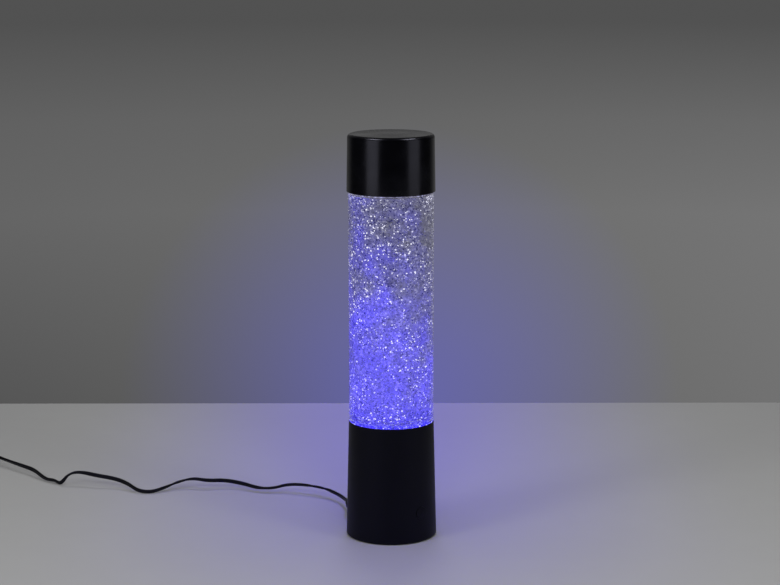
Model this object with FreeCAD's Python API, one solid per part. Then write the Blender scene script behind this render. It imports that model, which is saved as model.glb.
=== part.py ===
import FreeCAD, Part
import math
import os

# A column glitter lamp: a black tapered base, a clear tube of liquid and glitter, and a black cap.
# A motor in the base turns a magnet, which turns a stirrer in a well under the liquid.
# Lengths are in mm, +Z is up, and the origin is on the table, on the lamp's axis.
# The push button faces -Y, and the lead leaves at the back, at +Y.

V = FreeCAD.Vector
UP = V(0, 0, 1)
BACK = V(0, 1, 0)

# Overall sizes
HEIGHT = 350.0
BASE_HEIGHT = 101.8
CAP_HEIGHT = 49.0
TUBE_R = 36.5
BASE_RIM_STEP = 0.2
BASE_FLARE = 2.4
CAP_LIP_STEP = 0.7
CAP_TAPER = 0.8

# Walls
BASE_WALL = 2.4
TUBE_WALL = 3.0
CAP_WALL = 1.8

# Clearances: in a glued or pressed joint, round a shaft, round what slides, and beside a neighbour
GLUED = 0.1
PRESSED = 0.02
RUNNING = 0.05
SLIDING = 0.2
BESIDE = 0.3

# Base shell
FOOT_DROP = 0.8
BASE_EDGE_ROUND = 1.2
BASE_RIM_ROUND = 0.5
LEDGE_BELOW_RIM = 28.8
LEDGE_T = 2.0
LEDGE_W = 2.6
LUG_R = 4.2
LUG_T = 3.0

# Screws that clamp the tube's floor, the motor mount and the lugs of the base together
CLAMP_ANGLES = (90, 210, 330)
CLAMP_INSET = 3.9
CLAMP_SCREW_R = 1.4
CLAMP_HEAD_R = 2.6
CLAMP_HEAD_T = 1.8
CLAMP_BITE = 10.0
CLAMP_POST_R = 3.0

# Bottom cover, its feet and its screws
COVER_T = 2.2
COVER_RECESS = 0.2
COVER_RIM_INSET = 1.3
COVER_RIM_T = 1.2
COVER_RIM_H = 2.3
COVER_RIB_T = 1.6
COVER_RIB_ANGLES = (30, 90, 150)
COVER_SCREW_ANGLES = (0, 120, 240)
COVER_SCREW_CIRCLE_R = 27.0
COVER_SCREW_R = 1.15
COVER_HEAD_R = 2.8
COVER_HEAD_T = 1.4
COVER_BOSS_R = 3.2
COVER_BOSS_H = 9.3
COVER_BOSS_RIB_T = 2.0
FOOT_ANGLES = (45, 135, 225, 315)
FOOT_CIRCLE_R = 30.0
FOOT_R = 4.0
FOOT_T = 1.6
FOOT_ROUND = 0.5

# Push button, its guide sleeve and its travel
BUTTON_Z = 26.0
BUTTON_R = 5.5
BUTTON_PROUD = 0.7
BUTTON_DOME = 0.5
BUTTON_TRAVEL = 0.6
BUTTON_FLANGE_STEP = 1.3
BUTTON_FLANGE_T = 1.2
BUTTON_STEM_H = 0.4
SLEEVE_WALL = 1.7

# Switch and control board
BOARD_W = 30.0
BOARD_H = 26.0
BOARD_T = 1.6
BOARD_BELOW_BUTTON = 12.0
BOARD_FACE_Y = -26.0
BOARD_POST_R = 2.5
BOARD_POST_X = 11.5
BOARD_POST_INSET = 4.0
BOARD_SCREW_R = 0.9
BOARD_HEAD_R = 1.8
BOARD_HEAD_T = 1.2
BOARD_SCREW_BITE = 5.0
SWITCH_W = 6.0
SWITCH_DEEP = 3.5
PLUNGER_R = 1.6
PLUNGER_HIDDEN = 0.8
SOCKET_X = 5.0
SOCKET_W = 5.0
SOCKET_H = 4.0
SOCKET_DEEP = 4.5

# Motor and its mount
MOUNT_T = 2.4
MOUNT_RIM_T = 1.2
MOUNT_RIM_H = 2.6
MOTOR_R = 12.2
MOTOR_LENGTH = 12.3
MOTOR_WALL = 0.8
MOTOR_BOSS_R = 3.5
MOTOR_BOSS_H = 1.5
MOTOR_END_T = 1.5
MOTOR_SPIGOT_H = 1.0
MOTOR_SCREW_CIRCLE_R = 8.5
MOTOR_SCREW_R = 0.9
MOTOR_HEAD_R = 1.8
MOTOR_HEAD_T = 1.2
FIELD_T = 1.5
FIELD_END_GAP = 0.8
FIELD_SIDE_GAP = 4.0
ARMATURE_GAP = 0.4
ARMATURE_END_GAP = 1.5
ARMATURE_CORE_R = 4.0
ARMATURE_SLOT_W = 2.5
ARMATURE_SLOTS = 3
SHAFT_R = 1.0

# Magnetic drive: a carrier above the motor, and a stirrer in the well above the carrier
WELL_R = 14.0
WELL_WALL = 2.0
WELL_BOTTOM_T = 1.5
WELL_DEPTH = 10.0
STIRRER_GAP = 1.5
STIRRER_DISC_T = 3.0
STIRRER_VANE_T = 1.2
STIRRER_VANES = 4
STIRRER_HUB_R = 3.0
STIRRER_MAGNET_R = 2.5
STIRRER_MAGNET_T = 2.5
MAGNET_INSET = 4.0
CARRIER_STEP = 0.5
CARRIER_T = 6.0
CARRIER_HUB_R = 3.5
CARRIER_HUB_H = 3.0
CARRIER_GAP = 1.0
DRIVE_MAGNET_R = 3.0
DRIVE_MAGNET_T = 4.0
PIN_R = 1.0
PIN_BOSS_R = 3.0
PIN_BOSS_H = 0.8
PIN_BITE = 0.6
GUARD_STEP = 1.0
GUARD_T = 2.0
GUARD_HOLE_R = 1.9
GUARD_HOLE_PITCH = 6.6
GUARD_ROW_INSETS = (4.0, 9.0)

# Tube floor
FLOOR_BELOW_RIM = 1.3
FLOOR_T = 3.0
FLOOR_SKIRT_T = 1.6
FLOOR_SKIRT_H = 6.8
FLANGE_T = 1.0
SPIGOT_T = 2.0
SPIGOT_H = 1.4

# Light ring
LIGHTS_BELOW_FLOOR = 13.5
LIGHT_BOARD_GAP = 1.5
LIGHT_BOARD_W = 7.5
LIGHT_BOARD_T = 1.6
LIGHT_W = 5.0
LIGHT_H = 1.6
LIGHT_SPACING = 30
LIGHT_SCREW_ANGLES = (30, 150, 270)
STANDOFF_R = 2.4
STANDOFF_BITE = 6.0
LIGHT_SCREW_R = 0.9
LIGHT_HEAD_R = 1.7
LIGHT_HEAD_T = 1.1
LIGHT_WIRE_ANGLE = 300
LIGHT_WIRE_HOLE_R = 2.4

# Top closure, its filler stopper, and the cap
CLOSURE_T = 2.0
COLLAR_INSET = 2.0
COLLAR_T = 2.0
COLLAR_H = 11.0
FILLER_R = 5.5
FILLER_WALL = 2.5
FILLER_H = 7.0
STOPPER_HEAD_R = 8.5
STOPPER_HEAD_T = 2.0
CAP_EDGE_ROUND = 1.8
CAP_INNER_ROUND = 0.6
CAP_LIP_ROUND = 0.4
CAP_RIBS = 12
CAP_RIB_T = 1.2
CAP_RIB_H = 14.0
LIQUID_HEADROOM = 0.4

# Lead: a flat twin lead, whose width is the tube's diameter here
LEAD_W = 4.0
LEAD_Z = 11.0
LEAD_WIRE_PITCH = 2.0
BOOT_NECK_R = 3.6
BOOT_FLANGE_R = 4.6
BOOT_FLANGE_T = 1.2
BOOT_TIP_WALL = 0.6
BOOT_LENGTH = 9.8
INNER_WIRE_R = 0.6

# The lead's route, chosen by hand, without the runs square to the boot and to the coil; x, y, z
LEAD_ROUTE = (
    (8.5, 72.0, 8.6),
    (20.5, 85.0, 6.6),
    (29.5, 104.0, 7.0),
    (29.5, 125.5, 8.5),
    (21.5, 145.0, 9.0),
    (14.0, 160.5, 7.5),
    (2.5, 167.0, 4.5),
    (-6.5, 178.0, 4.0),
    (-10.0, 198.0, 5.5),
    (-19.5, 213.0, 7.0),
    (-34.5, 220.0, 8.0),
    (-41.5, 232.5, 9.0),
    (-54.0, 239.0, 7.0),
    (-70.5, 239.5, 3.5),
    (-84.5, 241.2, 2.0),
    (-91.3, 252.5, 2.0),
    (-91.0, 268.0, 5.0),
    (-95.0, 283.0, 8.5),
    (-106.0, 296.5, 11.0),
    (-112.0, 310.5, 12.5),
    (-118.5, 318.0, 12.5),
    (-125.0, 319.5, 9.0),
    (-127.5, 322.0, 4.8),
    (-130.2, 326.0, 2.0),
    (-129.5, 336.0, 3.0),
    (-130.5, 350.0, 2.0),
    (-127.5, 369.0, 3.5),
    (-131.5, 393.0, 6.5),
)
LEAD_FIRST_RUN = 10.5
LEAD_LAST_RUN = 22.5

# The put-away coil: two layers of half turns, in towards the middle and out again
COIL_START = V(-132.0, 442.0, 0)
COIL_R = 27.0
COIL_TURN_GAP = 1.3
COIL_LAYER_GAP = 0.9
COIL_HALF_TURNS_IN = 5

# The short stretch from the coil to the plug: x and y from the coil's end, and the share of its rise
TAIL_ROUTE = (
    (0.0, -12.0, 0.0),
    (-2.5, -21.0, 0.4),
    (-7.0, -29.5, 1.0),
)
TAIL_LAST_RUN = 9.5

# Plug
PLUG_TURN = -30.0
PLUG_W = 15.5
PLUG_T = 8.0
PLUG_LENGTH = 24.0
PLUG_ROUND = 1.6
PLUG_BOOT_LENGTH = 8.0
PLUG_BOOT_R = 3.3
PLUG_BOOT_TIP_WALL = 0.5
PLUG_GROOVES = 3
PLUG_GROOVE_PITCH = 3.0
PLUG_GROOVE_W = 1.2
PLUG_GROOVE_DEEP = 0.5
SHELL_W = 12.0
SHELL_T = 4.5
SHELL_WALL = 0.3
SHELL_OUT = 12.0
SHELL_IN = 4.0
SHELL_WINDOW = 2.2
TONGUE_T = 1.9
TONGUE_SHORT = 0.8
CONTACTS = 4
CONTACT_PITCH = 2.4
CONTACT_W = 1.1
CONTACT_T = 0.15
CONTACT_LENGTH = 7.5
CONTACT_INSET = 0.6

# Base and its cover
BASE_BOTTOM_Z = FOOT_DROP
BASE_RIM_Z = BASE_HEIGHT
BASE_RIM_R = TUBE_R + BASE_RIM_STEP
BASE_FOOT_R = BASE_RIM_R + BASE_FLARE
COVER_BOTTOM_Z = BASE_BOTTOM_Z + COVER_RECESS
COVER_TOP_Z = COVER_BOTTOM_Z + COVER_T
COVER_BOSS_TOP_Z = COVER_TOP_Z + COVER_BOSS_H

# Tube and its floor
TUBE_BOTTOM_Z = BASE_RIM_Z + FLANGE_T
BORE_R = TUBE_R - TUBE_WALL
SPIGOT_R = BORE_R - GLUED
SPIGOT_BORE_R = SPIGOT_R - SPIGOT_T
FLOOR_TOP_Z = BASE_RIM_Z - FLOOR_BELOW_RIM
FLOOR_UNDER_Z = FLOOR_TOP_Z - FLOOR_T
WELL_FLOOR_Z = FLOOR_TOP_Z - WELL_DEPTH
WELL_UNDER_Z = WELL_FLOOR_Z - WELL_BOTTOM_T
GUARD_Z = FLOOR_TOP_Z - GUARD_T
GUARD_R = WELL_R + GUARD_STEP

# Motor, magnets and stirrer
LEDGE_TOP_Z = BASE_RIM_Z - LEDGE_BELOW_RIM
MOUNT_TOP_Z = LEDGE_TOP_Z + MOUNT_T
MOTOR_BOTTOM_Z = LEDGE_TOP_Z - MOTOR_LENGTH
MOTOR_END_Z = MOTOR_BOTTOM_Z - MOTOR_END_T
MOTOR_BORE_R = MOTOR_R - MOTOR_WALL
FIELD_OUT_R = MOTOR_BORE_R - GLUED
ARMATURE_R = FIELD_OUT_R - FIELD_T - ARMATURE_GAP
CARRIER_TOP_Z = WELL_UNDER_Z - CARRIER_GAP
CARRIER_BOTTOM_Z = CARRIER_TOP_Z - CARRIER_T
STIRRER_R = WELL_R - STIRRER_GAP
CARRIER_R = STIRRER_R + CARRIER_STEP
MAGNET_CIRCLE_R = STIRRER_R - MAGNET_INSET
STIRRER_Z = WELL_FLOOR_Z + PIN_BOSS_H + BESIDE
STIRRER_TOP_Z = GUARD_Z - 1.0

# Light ring
LIGHT_BOARD_IN_R = WELL_R + WELL_WALL + LIGHT_BOARD_GAP
LIGHT_BOARD_OUT_R = LIGHT_BOARD_IN_R + LIGHT_BOARD_W
LIGHT_CIRCLE_R = LIGHT_BOARD_IN_R + LIGHT_BOARD_W / 2
LIGHT_BOARD_Z = FLOOR_TOP_Z - LIGHTS_BELOW_FLOOR
LIGHT_TOP_Z = LIGHT_BOARD_Z + LIGHT_BOARD_T

# Top
CAP_BOTTOM_Z = HEIGHT - CAP_HEIGHT
CAP_SKIRT_R = TUBE_R + CAP_LIP_STEP
CAP_TOP_R = CAP_SKIRT_R - CAP_TAPER
TUBE_TOP_Z = CAP_BOTTOM_Z - FLANGE_T
COLLAR_R = TUBE_R - COLLAR_INSET
CLOSURE_UNDER_Z = CAP_BOTTOM_Z - CLOSURE_T
LIQUID_TOP_Z = CLOSURE_UNDER_Z - LIQUID_HEADROOM

# Button and board
BOARD_Z = BUTTON_Z - BOARD_BELOW_BUTTON
BOARD_BACK_Y = BOARD_FACE_Y + BOARD_T
SWITCH_FACE_Y = BOARD_FACE_Y - SWITCH_DEEP
BUTTON_BACK_Y = SWITCH_FACE_Y - BUTTON_TRAVEL - SLIDING
BUTTON_FLANGE_Y = BUTTON_BACK_Y - BUTTON_STEM_H - BUTTON_FLANGE_T
SLEEVE_END_Y = BUTTON_FLANGE_Y - GLUED

# Lead
LEAD_R = LEAD_W / 2
COIL_PITCH = LEAD_W + COIL_TURN_GAP
COIL_LAYER = LEAD_W + COIL_LAYER_GAP


def base_outer(z):
    """Radius of the base's tapered outside at a height."""
    share = (z - BASE_BOTTOM_Z) / (BASE_RIM_Z - BASE_BOTTOM_Z)
    return BASE_FOOT_R + share * (BASE_RIM_R - BASE_FOOT_R)


def base_inner(z):
    """Radius of the base's tapered inside at a height."""
    return base_outer(z) - BASE_WALL


LEDGE_R = base_inner(LEDGE_TOP_Z) - LEDGE_W
CLAMP_CIRCLE_R = LEDGE_R - CLAMP_INSET
INSERT_R = base_inner(BASE_RIM_Z) - BESIDE


# Drawing helpers


def corner(before, at, after, radius):
    """Start, middle and end of the arc that rounds a corner with a radius."""
    come = (at - before).normalize()
    leave = (after - at).normalize()
    half = come.getAngle(leave) / 2
    inward = (leave - come).normalize()
    reach = radius * math.tan(half)
    middle = at + inward * (radius / math.cos(half) - radius)
    return at - come * reach, middle, at + leave * reach


def rounded_wire(points, radii, closed=False):
    """Straight runs through the points, joined by tangent arcs. A radius of 0 is a sharp corner."""
    edges = []
    first = last = None
    for i, at in enumerate(points):
        at_an_end = not closed and i in (0, len(points) - 1)
        if at_an_end or radii[i] == 0:
            start, arc, end = at, None, at
        else:
            start, middle, end = corner(points[i - 1], at, points[(i + 1) % len(points)], radii[i])
            arc = Part.Arc(start, middle, end)
        if last is None:
            first = start
        else:
            edges.append(Part.LineSegment(last, start).toShape())
        if arc:
            edges.append(arc.toShape())
        last = end
    if closed:
        edges.append(Part.LineSegment(last, first).toShape())
    return Part.Wire(edges)


def turned(*profile):
    """A solid turned about Z, from the (radius, height) corners of half its section.

    A third number on a corner rounds it.
    """
    points = [V(at[0], 0, at[1]) for at in profile]
    radii = [at[2] if len(at) > 2 else 0 for at in profile]
    return Part.Face(rounded_wire(points, radii, True)).revolve(V(), UP, 360)


def rod(radius, low, high, x=0, y=0):
    """A cylinder along Z."""
    return Part.makeCylinder(radius, high - low, V(x, y, low))


def rod_y(radius, low, high, x=0, z=0):
    """A cylinder along Y."""
    return Part.makeCylinder(radius, high - low, V(x, low, z), BACK)


def ring(outer, inner, low, high):
    """A flat ring about the lamp's axis."""
    return rod(outer, low, high).cut(rod(inner, low - 1, high + 1))


def block(low, high):
    """A box between two corners."""
    size = V(*high) - V(*low)
    return Part.makeBox(size.x, size.y, size.z, V(*low))


def around(shape, radius, angles):
    """Copies of a shape, each moved out along +X and turned about Z."""
    copies = []
    for angle in angles:
        copy = shape.copy()
        copy.translate(V(radius, 0, 0))
        copy.rotate(V(), UP, angle)
        copies.append(copy)
    return copies


def tube(points, radius):
    """A round tube along straight runs joined by arcs as large as the runs allow."""
    radii = [0] * len(points)
    for i in range(1, len(points) - 1):
        come = points[i] - points[i - 1]
        leave = points[i + 1] - points[i]
        half_turn = come.getAngle(leave) / 2
        radii[i] = 0.45 * min(come.Length, leave.Length) / math.tan(half_turn)
    path = rounded_wire(points, radii)
    section = Part.Wire(Part.makeCircle(radius, points[0], points[1] - points[0]))
    solid = path.makePipeShell([section], True, False)
    return solid, path, radii[1:-1]


def describe_tube(name, solid, path, radii, radius):
    """Prints a tube's length, its arcs and how its volume compares with section times length."""
    section = math.pi * radius**2
    print(
        f"{name}: length {path.Length:.1f}, radii {[round(r, 1) for r in radii]}, "
        f"volume over section times length {solid.Volume / (section * path.Length):.4f}"
    )


def save(node, *shapes):
    """Writes the solids of the shapes to the node's STEP file."""
    solids = [solid for shape in shapes for solid in shape.Solids]
    for solid in solids:
        if not solid.isValid() or solid.Volume <= 0:
            raise RuntimeError(f"{node} has a bad solid")
    shape = solids[0] if len(solids) == 1 else Part.makeCompound(solids)
    shape.exportStep(f"parts/{node}.step")


# Base


def base_shell():
    """The tapered housing, with the ledge and lugs that carry the motor mount."""
    ledge_foot_z = LEDGE_TOP_Z - LEDGE_T - (base_inner(LEDGE_TOP_Z) - LEDGE_R)
    shell = turned(
        (base_outer(BASE_BOTTOM_Z), BASE_BOTTOM_Z, BASE_EDGE_ROUND),
        (BASE_RIM_R, BASE_RIM_Z, BASE_RIM_ROUND),
        (base_inner(BASE_RIM_Z), BASE_RIM_Z),
        (base_inner(LEDGE_TOP_Z), LEDGE_TOP_Z),
        (LEDGE_R, LEDGE_TOP_Z),
        (LEDGE_R, LEDGE_TOP_Z - LEDGE_T),
        (base_inner(ledge_foot_z), ledge_foot_z),
        (base_inner(BASE_BOTTOM_Z), BASE_BOTTOM_Z),
    )
    lug = rod(LUG_R, LEDGE_TOP_Z - LUG_T, LEDGE_TOP_Z)
    reach = LEDGE_R + 1.0 - CLAMP_CIRCLE_R
    lug_root = block((0, -LUG_R, LEDGE_TOP_Z - LUG_T), (reach, LUG_R, LEDGE_TOP_Z))
    boss = rod(COVER_BOSS_R, COVER_TOP_Z, COVER_BOSS_TOP_Z)
    to_wall = base_inner(COVER_BOSS_TOP_Z) + BASE_WALL / 2 - COVER_SCREW_CIRCLE_R
    rib_z = COVER_TOP_Z + COVER_RIM_H + 0.5
    half = COVER_BOSS_RIB_T / 2
    boss_rib = block((0, -half, rib_z), (to_wall, half, COVER_BOSS_TOP_Z))
    shell = shell.fuse(
        around(lug, CLAMP_CIRCLE_R, CLAMP_ANGLES)
        + around(lug_root, CLAMP_CIRCLE_R, CLAMP_ANGLES)
        + around(boss, COVER_SCREW_CIRCLE_R, COVER_SCREW_ANGLES)
        + around(boss_rib, COVER_SCREW_CIRCLE_R, COVER_SCREW_ANGLES)
        + [button_sleeve()]
        + board_posts()
    )
    lug_hole = rod(CLAMP_SCREW_R + BESIDE, LEDGE_TOP_Z - LUG_T - 1, LEDGE_TOP_Z + 1)
    boss_hole = rod(COVER_SCREW_R + GLUED, COVER_TOP_Z - 1, COVER_BOSS_TOP_Z - 1)
    cuts = around(lug_hole, CLAMP_CIRCLE_R, CLAMP_ANGLES)
    cuts += around(boss_hole, COVER_SCREW_CIRCLE_R, COVER_SCREW_ANGLES)
    cuts.append(rod_y(BUTTON_R + SLIDING, -BASE_FOOT_R - 5, SLEEVE_END_Y + 5, 0, BUTTON_Z))
    cuts.append(rod_y(BOOT_NECK_R + GLUED, BASE_RIM_R - BASE_WALL - 2, BASE_FOOT_R + 5, 0, LEAD_Z))
    for x, z in board_screw_places():
        hole_end = BOARD_FACE_Y - BOARD_SCREW_BITE - 1
        cuts.append(rod_y(BOARD_SCREW_R + GLUED, hole_end, BOARD_FACE_Y + 1, x, z))
    return shell.cut(cuts).removeSplitter()


def button_sleeve():
    """The tube inside the wall that guides the button."""
    radius = BUTTON_R + SLIDING + SLEEVE_WALL
    wall_y = math.sqrt((base_outer(BUTTON_Z + radius) - 0.4) ** 2 - radius**2)
    return rod_y(radius, -wall_y, SLEEVE_END_Y, 0, BUTTON_Z)


def board_screw_places():
    """The (x, z) places of the control board's four screws."""
    low = BOARD_Z + BOARD_POST_INSET
    high = BOARD_Z + BOARD_H - BOARD_POST_INSET
    return [(x, z) for x in (-BOARD_POST_X, BOARD_POST_X) for z in (low, high)]


def board_posts():
    """Posts from the wall to the control board."""
    posts = []
    for x, z in board_screw_places():
        outermost = abs(x) + BOARD_POST_R
        wall_y = math.sqrt((base_outer(z + BOARD_POST_R) - 0.4) ** 2 - outermost**2)
        posts.append(rod_y(BOARD_POST_R, -wall_y, BOARD_FACE_Y, x, z))
    return posts


def bottom_cover():
    """The plate that closes the base, ribbed inside, with pockets for the feet."""
    radius = base_inner(COVER_BOTTOM_Z) - BESIDE
    rim_out_r = radius - COVER_RIM_INSET
    rim_in_r = rim_out_r - COVER_RIM_T
    rim_top_z = COVER_TOP_Z + COVER_RIM_H
    cover = turned(
        (0, COVER_BOTTOM_Z),
        (radius, COVER_BOTTOM_Z, 0.4),
        (radius, COVER_TOP_Z),
        (rim_out_r, COVER_TOP_Z),
        (rim_out_r, rim_top_z),
        (rim_in_r, rim_top_z),
        (rim_in_r, COVER_TOP_Z),
        (0, COVER_TOP_Z),
    )
    reach = (rim_out_r + rim_in_r) / 2
    half = COVER_RIB_T / 2
    rib = block((-reach, -half, COVER_TOP_Z - 0.5), (reach, half, rim_top_z - 0.3))
    cover = cover.fuse(around(rib, 0, COVER_RIB_ANGLES))
    pocket = rod(FOOT_R + GLUED, COVER_BOTTOM_Z - 1, FOOT_T)
    hole = rod(COVER_SCREW_R + BESIDE, COVER_BOTTOM_Z - 1, COVER_TOP_Z + 1)
    sink_z = V(0, 0, COVER_BOTTOM_Z)
    sink = Part.makeCone(COVER_HEAD_R + SLIDING, COVER_SCREW_R + SLIDING, COVER_HEAD_T, sink_z)
    cuts = around(pocket, FOOT_CIRCLE_R, FOOT_ANGLES)
    cuts += around(hole, COVER_SCREW_CIRCLE_R, COVER_SCREW_ANGLES)
    cuts += around(sink, COVER_SCREW_CIRCLE_R, COVER_SCREW_ANGLES)
    return cover.cut(cuts).removeSplitter()


def rubber_feet():
    """Four round pads in the cover's pockets, which the lamp stands on."""
    foot = turned((0, 0), (FOOT_R, 0, FOOT_ROUND), (FOOT_R, FOOT_T), (0, FOOT_T))
    return around(foot, FOOT_CIRCLE_R, FOOT_ANGLES)


def cover_screws():
    """Countersunk screws up through the cover into the bosses."""
    screw = turned(
        (0, COVER_BOTTOM_Z + 0.1),
        (COVER_HEAD_R, COVER_BOTTOM_Z + 0.1),
        (COVER_SCREW_R, COVER_BOTTOM_Z + COVER_HEAD_T),
        (COVER_SCREW_R, COVER_BOSS_TOP_Z - 2.0),
        (0, COVER_BOSS_TOP_Z - 2.0),
    )
    return around(screw, COVER_SCREW_CIRCLE_R, COVER_SCREW_ANGLES)


# Button, switch and control board


def power_button():
    """A domed round button with a flange that stops it behind the sleeve."""
    face = base_outer(BUTTON_Z) + BUTTON_PROUD
    stem_r = PLUNGER_R + 0.9
    flange_r = BUTTON_R + BUTTON_FLANGE_STEP
    flange_back = -BUTTON_BACK_Y + BUTTON_STEM_H
    button = turned(
        (0, -BUTTON_BACK_Y),
        (stem_r, -BUTTON_BACK_Y),
        (stem_r, flange_back),
        (flange_r, flange_back),
        (flange_r, -BUTTON_FLANGE_Y),
        (BUTTON_R, -BUTTON_FLANGE_Y),
        (BUTTON_R, face - BUTTON_DOME, 0.3),
        (0, face),
    )
    button.rotate(V(), V(1, 0, 0), 90)
    button.translate(V(0, 0, BUTTON_Z))
    return button


def switch_plunger():
    """The switch's own plunger, which the button's back rests on."""
    return rod_y(PLUNGER_R, BUTTON_BACK_Y, SWITCH_FACE_Y + PLUNGER_HIDDEN, 0, BUTTON_Z)


def switch_body():
    """A small square push switch on the front of the board."""
    half = SWITCH_W / 2
    low = (-half, SWITCH_FACE_Y, BUTTON_Z - half)
    high = (half, BOARD_FACE_Y, BUTTON_Z + half)
    bore_end = SWITCH_FACE_Y + PLUNGER_HIDDEN + BUTTON_TRAVEL + 0.4
    bore = rod_y(PLUNGER_R + SLIDING, SWITCH_FACE_Y - 1, bore_end, 0, BUTTON_Z)
    return block(low, high).cut(bore)


def control_board():
    """The upright board behind the button."""
    half = BOARD_W / 2
    board = block((-half, BOARD_FACE_Y, BOARD_Z), (half, BOARD_BACK_Y, BOARD_Z + BOARD_H))
    holes = [
        rod_y(BOARD_SCREW_R + SLIDING, BOARD_FACE_Y - 1, BOARD_BACK_Y + 1, x, z)
        for x, z in board_screw_places()
    ]
    return board.cut(holes)


def board_screws():
    """Screws through the board into its posts."""
    screws = []
    for x, z in board_screw_places():
        shank = rod_y(BOARD_SCREW_R, BOARD_FACE_Y - BOARD_SCREW_BITE, BOARD_BACK_Y, x, z)
        head = rod_y(BOARD_HEAD_R, BOARD_BACK_Y, BOARD_BACK_Y + BOARD_HEAD_T, x, z)
        screws.append(shank.fuse(head))
    return screws


def socket_places():
    """The (x, z) centres of the board's sockets: for power, the motor and the lights."""
    low = BOARD_Z + BOARD_POST_INSET
    high = BOARD_Z + BOARD_H - BOARD_POST_INSET
    return {"power": (SOCKET_X, low), "motor": (-SOCKET_X, high), "lights": (SOCKET_X, high)}


def board_parts():
    """Wire sockets, a driver chip, a capacitor and a row of small parts on the board's back."""
    shapes = []
    for x, z in socket_places().values():
        low = (x - SOCKET_W / 2, BOARD_BACK_Y, z - SOCKET_H / 2)
        high = (x + SOCKET_W / 2, BOARD_BACK_Y + SOCKET_DEEP, z + SOCKET_H / 2)
        shapes.append(block(low, high))
    middle = BOARD_Z + BOARD_H / 2
    shapes.append(block((-1.0, BOARD_BACK_Y, middle - 2.0), (4.0, BOARD_BACK_Y + 1.6, middle + 2.0)))
    shapes.append(rod_y(2.5, BOARD_BACK_Y, BOARD_BACK_Y + 7.0, -6.0, middle))
    for step in range(4):
        x = -6.0 + 2.2 * step
        low = (x, BOARD_BACK_Y, BOARD_Z + 2.0)
        high = (x + 1.2, BOARD_BACK_Y + 0.8, BOARD_Z + 4.0)
        shapes.append(block(low, high))
    return shapes


# Motor and its mount


def motor_mount():
    """The plate on the base's ledge that carries the motor and the light ring."""
    plate = turned(
        (MOTOR_BOSS_R + GLUED, LEDGE_TOP_Z),
        (INSERT_R, LEDGE_TOP_Z),
        (INSERT_R, MOUNT_TOP_Z + MOUNT_RIM_H),
        (INSERT_R - MOUNT_RIM_T, MOUNT_TOP_Z + MOUNT_RIM_H),
        (INSERT_R - MOUNT_RIM_T, MOUNT_TOP_Z),
        (MOTOR_BOSS_R + GLUED, MOUNT_TOP_Z),
    )
    standoff = rod(STANDOFF_R, MOUNT_TOP_Z - 0.5, LIGHT_BOARD_Z)
    plate = plate.fuse(around(standoff, LIGHT_CIRCLE_R, LIGHT_SCREW_ANGLES))
    clamp_hole = rod(CLAMP_SCREW_R + BESIDE, LEDGE_TOP_Z - 1, MOUNT_TOP_Z + 1)
    motor_hole = rod(MOTOR_SCREW_R + SLIDING, LEDGE_TOP_Z - 1, MOUNT_TOP_Z + 1)
    pilot = rod(LIGHT_SCREW_R + GLUED, LIGHT_BOARD_Z - STANDOFF_BITE - 1, LIGHT_BOARD_Z + 1)
    wire_hole = rod(LIGHT_WIRE_HOLE_R, LEDGE_TOP_Z - 1, MOUNT_TOP_Z + 1)
    cuts = around(clamp_hole, CLAMP_CIRCLE_R, CLAMP_ANGLES)
    cuts += around(motor_hole, MOTOR_SCREW_CIRCLE_R, (0, 180))
    cuts += around(pilot, LIGHT_CIRCLE_R, LIGHT_SCREW_ANGLES)
    cuts += around(wire_hole, LIGHT_CIRCLE_R, (LIGHT_WIRE_ANGLE,))
    return plate.cut(cuts).removeSplitter()


def clamp_screws():
    """Long screws up through the lugs and the mount into the tube floor's posts."""
    head_z = LEDGE_TOP_Z - LUG_T - CLAMP_HEAD_T
    head = rod(CLAMP_HEAD_R, head_z, head_z + CLAMP_HEAD_T)
    shank = rod(CLAMP_SCREW_R, head_z + CLAMP_HEAD_T, MOUNT_TOP_Z + CLAMP_BITE)
    return around(head.fuse(shank), CLAMP_CIRCLE_R, CLAMP_ANGLES)


def motor_can():
    """The motor's deep-drawn cup, open below, with the front bearing in its boss."""
    top = LEDGE_TOP_Z
    can = turned(
        (SHAFT_R + RUNNING, top + MOTOR_BOSS_H),
        (SHAFT_R + RUNNING, top - MOTOR_WALL),
        (MOTOR_BORE_R, top - MOTOR_WALL, 0.4),
        (MOTOR_BORE_R, MOTOR_BOTTOM_Z),
        (MOTOR_R, MOTOR_BOTTOM_Z),
        (MOTOR_R, top, 1.0),
        (MOTOR_BOSS_R, top),
        (MOTOR_BOSS_R, top + MOTOR_BOSS_H),
    )
    hole = rod(MOTOR_SCREW_R + GLUED, top - MOTOR_WALL - 1, top + 1)
    return can.cut(around(hole, MOTOR_SCREW_CIRCLE_R, (0, 180)))


def motor_end_cap():
    """The plastic end that closes the motor below and holds its rear bearing."""
    return turned(
        (0, MOTOR_END_Z),
        (MOTOR_R, MOTOR_END_Z, 0.4),
        (MOTOR_R, MOTOR_BOTTOM_Z),
        (MOTOR_BORE_R - GLUED, MOTOR_BOTTOM_Z),
        (MOTOR_BORE_R - GLUED, MOTOR_BOTTOM_Z + MOTOR_SPIGOT_H),
        (SHAFT_R + RUNNING, MOTOR_BOTTOM_Z + MOTOR_SPIGOT_H),
        (SHAFT_R + RUNNING, MOTOR_BOTTOM_Z),
        (0, MOTOR_BOTTOM_Z),
    )


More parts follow.
